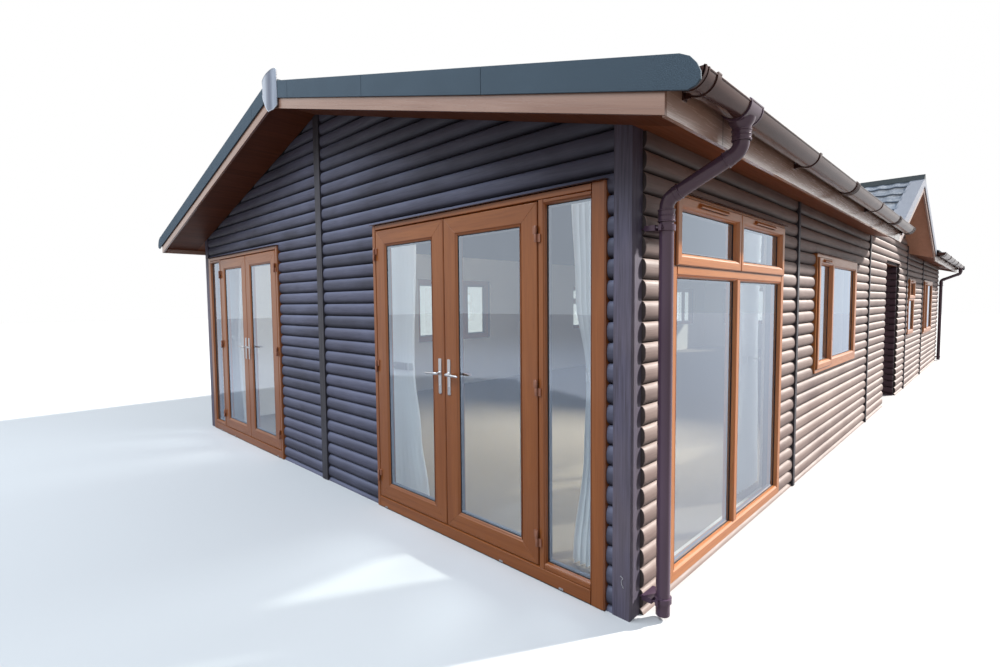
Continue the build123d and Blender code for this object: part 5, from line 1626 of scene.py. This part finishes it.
# Butt joints of the fascias, and the small wire hook on the corner post
FASCIA_JOINTS = (-7.472, -2.6, 2.6, 7.472)
JOINT_HALF = 0.0012
HOOK_X, HOOK_Z = 3.0, 0.214
HOOK_STEPS = 24
fascia_joints = Shape()
for wall in (OUT_RIGHT, OUT_LEFT):
    for y in FASCIA_JOINTS:
        depths = (FASCIA_X - 0.004, FASCIA_X + 0.0006)
        fascia_joints.box(wall, (y - JOINT_HALF, y + JOINT_HALF), depths, (FASCIA_LOW, FASCIA_HIGH))
fascia_joints.piece("fascia_joints", RUBBER, "oak_upvc")

POST_FRONT = FRONT.moved(HALF_LENGTH)
hook = Shape()
wire = []
for step in range(HOOK_STEPS + 1):
    share = step / HOOK_STEPS
    bow = 0.0095 * sin(pi * share / 0.3) if share < 0.3 else -0.006 * sin(pi * (share - 0.3) / 0.7)
    wire.append(POST_FRONT.at(HOOK_X + 0.016 * share + bow, 0.0028, HOOK_Z - 0.055 * share))
hook.tube(wire, 0.0016, 10, side_hint=(0, 1, 0))
hook.rod(POST_FRONT, HOOK_X, HOOK_Z, (-0.004, 0.0045), [0.0026, 0.0026])
hook.rod(POST_FRONT, HOOK_X + 0.012, HOOK_Z - 0.048, (-0.004, 0.005), [0.0032, 0.0028])
hook.piece("post_hook", STEEL, "steel_fittings", smooth=35)


# Curtains inside the glazed sets and the tall window, on poles with rings
POLE_Z = 2.205
POLE_RADIUS = 0.012
RING_RADIUS = 0.0165
CLOTH_TOP, CLOTH_FOOT = POLE_Z - 0.03, 0.062
CLOTH_WIDE = 1.05
CLOTH_PLEATS = 9
CLOTH_ROWS = 40
CLOTH_STEPS = CLOTH_PLEATS * 8
CLOTH_HALF_THICK = 0.0007
CLOTH_DEPTH = 0.085
BAND_HALF = 0.028


def pleat_depth(width):
    """Half depth of the pleats that takes up the whole width of the cloth in a narrower row."""
    waves = [sin(2 * pi * CLOTH_PLEATS * step / CLOTH_STEPS) for step in range(CLOTH_STEPS + 1)]
    low, high = 0.0, 0.2
    for _ in range(30):
        middle = (low + high) / 2
        length = sum(hypot(width / CLOTH_STEPS, middle * (b - a)) for a, b in zip(waves, waves[1:]))
        low, high = (middle, high) if length < CLOTH_WIDE else (low, middle)
    return low


def row_at(spans, z):
    """Edges of the cloth at a height, eased between the given rows."""
    for (z0, a0, b0), (z1, a1, b1) in zip(spans, spans[1:]):
        if z >= z1 - 1e-6:
            share = (1 - cos(pi * (z0 - z) / (z0 - z1))) / 2
            return a0 + (a1 - a0) * share, b0 + (b1 - b0) * share
    return spans[-1][1:]


def cloth_rows(wall, spans, offset):
    """Rows of points of one side of the cloth, which lies at an offset from its middle."""
    for number in range(CLOTH_ROWS + 1):
        z = CLOTH_TOP + (CLOTH_FOOT - CLOTH_TOP) * number / CLOTH_ROWS
        a, b = row_at(spans, z)
        depth = pleat_depth(abs(b - a))
        for step in range(CLOTH_STEPS + 1):
            share = step / CLOTH_STEPS
            turn = 2 * pi * CLOTH_PLEATS * share
            sway = 0.004 * sin(5 * share + 3 * z)
            yield wall.at(a + (b - a) * share + offset * cos(turn), depth * sin(turn) + sway + offset, z)


def curtain(name, wall, spans, tie):
    """One curtain tied back at a height; the wall's face is the plane that the pole hangs in."""
    points = [p for offset in (-CLOTH_HALF_THICK, CLOTH_HALF_THICK) for p in cloth_rows(wall, spans, offset)]
    wide = CLOTH_STEPS + 1
    back = len(points) // 2
    faces = net(CLOTH_ROWS + 1, wide) + net(CLOTH_ROWS + 1, wide, back)
    sides = [(r * wide + c, wide) for r in range(CLOTH_ROWS) for c in (0, CLOTH_STEPS)]
    hems = [(r * wide + c, 1) for r in (0, CLOTH_ROWS) for c in range(CLOTH_STEPS)]
    faces += [[i, i + step, back + i + step, back + i] for i, step in sides + hems]
    shape = Shape()
    shape.add(points, faces)
    cloth = shape.piece(name, CURTAIN, "floor_board", smooth=60)
    a, b = row_at(spans, tie)
    depth = pleat_depth(abs(b - a)) + 0.007
    middle, half = (a + b) / 2, abs(b - a) / 2 + 0.009
    rings = []
    for shell, drop in ((0.0, -BAND_HALF), (0.0, BAND_HALF), (0.003, BAND_HALF), (0.003, -BAND_HALF)):
        angles = [2 * pi * turn / 28 for turn in range(28)]
        oval = [(middle + (half - shell) * cos(a), (depth - shell) * sin(a)) for a in angles]
        rings.append([wall.at(u, out, tie + drop) for u, out in oval])
    band = Shape()
    band.loft(rings, loop=True)
    band.piece(f"{name}_tie", CURTAIN, "floor_board", smooth=40)
    return middle, tie, depth


def curtain_pole(name, wall, ends, brackets, edges, ties):
    """Pole with turned ends, wall brackets, rings over each curtain and hooks for the ties."""
    shape = Shape()
    shape.tube([wall.at(u, 0, POLE_Z) for u in ends], POLE_RADIUS, 20)
    for end, way in zip(ends, (-1, 1)):
        stations = [wall.at(end + way * s, 0, POLE_Z) for s in (0.0, 0.004, 0.014, 0.026, 0.036, 0.04)]
        shape.tube(stations, [POLE_RADIUS, 0.017, 0.02, 0.019, 0.012, 0.004], 20)
    for place in brackets:
        shape.rod(wall, place, POLE_Z, (0.006, CLOTH_DEPTH - 0.004), 0.006, 14)
        shape.rod(wall, place, POLE_Z, (CLOTH_DEPTH - 0.006, CLOTH_DEPTH), [0.024, 0.026], 20)
    angles = [2 * pi * step / 20 for step in range(21)]
    for a, b in edges:
        for number in range(CLOTH_PLEATS + 1):
            u = a + (b - a) * (number + 0.25) / (CLOTH_PLEATS + 0.5)
            ring = [(RING_RADIUS * cos(t), POLE_Z - 0.003 + RING_RADIUS * sin(t)) for t in angles]
            shape.tube([wall.at(u, out, z) for out, z in ring], 0.0018, 8)
            shape.tube([wall.at(u, 0.0, POLE_Z - 0.018), wall.at(u, 0.0, CLOTH_TOP - 0.004)], 0.0014, 8)
    for middle, z, depth in ties:
        shape.rod(wall, middle, z, (depth - 0.003, CLOTH_DEPTH), 0.0035, 10)
        shape.rod(wall, middle, z, (CLOTH_DEPTH - 0.003, CLOTH_DEPTH), [0.013, 0.014], 16)
    shape.piece(name, STEEL, "steel_fittings", smooth=35)


# Each curtain: its tie's height, then rows of height, fixed edge and free edge
INNER_ROWS = [(CLOTH_TOP, 0.6, 1.07), (1.07, 0.66, 1.026), (0.55, 0.64, 1.1), (CLOTH_FOOT, 0.6, 1.19)]
OUTER_ROWS = [(CLOTH_TOP, 2.9, 2.535), (1.6, 2.88, 2.567), (1.145, 2.84, 2.65), (0.75, 2.87, 2.63)]
OUTER_ROWS.append((CLOTH_FOOT, 2.9, 2.548))
SET_CURTAINS = {"inner": (1.07, INNER_ROWS), "outer": (1.145, OUTER_ROWS)}
TALL_ROWS = [(CLOTH_TOP, -5.28, -5.74), (1.1, -5.33, -5.6), (0.6, -5.31, -5.68), (CLOTH_FOOT, -5.27, -5.78)]
SET_BRACKETS = (0.585, 1.8, 2.895)
for label, side in (("right", 1), ("left", -1)):
    plane = FRONT.moved(END_IN - CLOTH_DEPTH)
    pole = f"{label}_set_curtain_pole"
    ties, edges = [], []
    for place, (tie, rows) in SET_CURTAINS.items():
        rows = [(z, side * a, side * b) for z, a, b in rows]
        ties.append(curtain(f"{label}_set_{place}_curtain", plane, rows, tie))
        edges.append(rows[0][1:])
    ends = sorted((side * 0.56, side * 2.91))
    curtain_pole(pole, plane, ends, [side * place for place in SET_BRACKETS], edges, ties)
plane = RIGHT.moved(SIDE_IN - CLOTH_DEPTH)
pole = "tall_window_curtain_pole"
tie = curtain("tall_window_curtain", plane, TALL_ROWS, 1.1)
curtain_pole(pole, plane, (-7.2, -5.22), (-7.15, -6.2, -5.25), [TALL_ROWS[0][1:]], [tie])


# Carried-over nodes get their finishes and eased edges; the rest of them are wall cores
FINISHES = {
    "corner_posts": (POST_TIMBER, 0.004),
    "end_battens": (BATTEN_TIMBER, 0.003),
    "side_battens": (BATTEN_TIMBER, 0.002),
    "eaves_soffits": (EAVES_SOFFIT, 0),
    "gable_soffits": (SOFFIT, 0),
    "gablet_soffit": (GABLET_SOFFIT, 0),
    "recess_ceiling": (SOFFIT, 0),
    "fascias": (FASCIA, 0.003),
    "gable_bargeboards": (BARGE, 0.003),
    "gablet_bargeboards": (GABLET_BARGE, 0.003),
    "gable_verge_flanges": (SLATE, 0.003),
    "gablet_verge_trims": (PALE_SLATE, 0.003),
    "main_ridge_cap": (CAP, 0.004),
    "gablet_ridge_cap": (CAP, 0.004),
    "roof_left": (TILES, 0),
    "roof_right": (TILES, 0),
    "eaves_courses": (TILES, 0),
    "gablet_roof": (TILES, 0),
    "floor": (CARPET, 0),
    "entrance_frame": (OAK, 0.003),
    "entrance_door": (OAK, 0.003),
    "window_glass": (GLAZING, 0),
    **{f"{name}_glass": (GLAZING, 0) for name in DOORS},
}
for name, node in frame["nodes"].items():
    material, bevel = FINISHES.get(name, (WALL_CORE, 0))
    node.data.materials.clear()
    node.data.materials.append(material)
    if bevel:
        round_edges(node, bevel)


# Ground, light and background
FLOOR_HALF = 60
FLOOR_SHOWN = (0.74, 0.74, 0.74, 1)
FLOOR_MIRRORED = (0.42, 0.42, 0.44, 1)
FLOOR_BOUNCE = (0.12, 0.09, 0.075, 1)
SUN_HEIGHT, SUN_ROUND = radians(29.5), radians(60.5)
OVERHEAD_POWER, INDOOR_POWER = 1700, 230


def link(name, data):
    made = bpy.data.objects.new(name, data)
    bpy.context.scene.collection.objects.link(made)
    return made


mesh = bpy.data.meshes.new("studio_floor")
corners = rectangle(-FLOOR_HALF, FLOOR_HALF, -FLOOR_HALF, FLOOR_HALF)
mesh.from_pydata([(x, y, 0) for x, y in corners], [], [[0, 1, 2, 3]])
ground = Finish("studio_floor", Roughness=0.9)
shown_floor = ground.blend(ground.ray("Glossy"), FLOOR_SHOWN, FLOOR_MIRRORED)
ground.to("Base Color", ground.blend(ground.seen(), FLOOR_BOUNCE, shown_floor))
mesh.materials.append(ground.material)
studio_floor = link("studio_floor", mesh)
studio_floor.location.z = -0.0005
studio_floor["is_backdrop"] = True

sun_data = bpy.data.lights.new("key", "SUN")
sun_data.energy = 7.0
sun_data.angle = radians(2)
sun_data.color = (1.0, 0.965, 0.92)
toward = Vector((cos(SUN_HEIGHT) * cos(SUN_ROUND), cos(SUN_HEIGHT) * sin(SUN_ROUND), sin(SUN_HEIGHT)))
link("key", sun_data).matrix_world = toward.to_track_quat("Z", "Y").to_matrix().to_4x4()


def soft_box(name, place, target, size, power, tint, shown=True):
    """Broad soft light aimed at a point."""
    data = bpy.data.lights.new(name, "AREA")
    data.shape = "RECTANGLE"
    data.size, data.size_y = size
    data.energy = power
    data.color = tint
    made = link(name, data)
    made.visible_camera = False
    made.visible_glossy = shown
    made.visible_transmission = False
    aim = Vector(place) - Vector(target)
    made.matrix_world = Matrix.Translation(place) @ aim.to_track_quat("Z", "Y").to_matrix().to_4x4()


soft_box("overhead", (-1.5, -15.5, 11.0), (0, -8, 1.4), (14, 7), OVERHEAD_POWER, (0.8, 0.9, 1.0))
soft_box("indoors", (0.6, -4.2, 2.1), (1.6, -7.5, 0.9), (3, 1.2), INDOOR_POWER, (0.92, 0.96, 1.0), False)

bpy.context.scene.world = bpy.data.worlds.new("studio")
sky = Nodes(bpy.context.scene.world, "ShaderNodeOutputWorld")
light = sky.node("ShaderNodeBackground", 0, {"Color": (0.84, 0.91, 1.0, 1), "Strength": 0.46})
backdrop = sky.node("ShaderNodeBackground", 0, {"Color": (1, 1, 1, 1), "Strength": 1.0})
sky.show(sky.seen(), light, backdrop)

low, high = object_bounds()
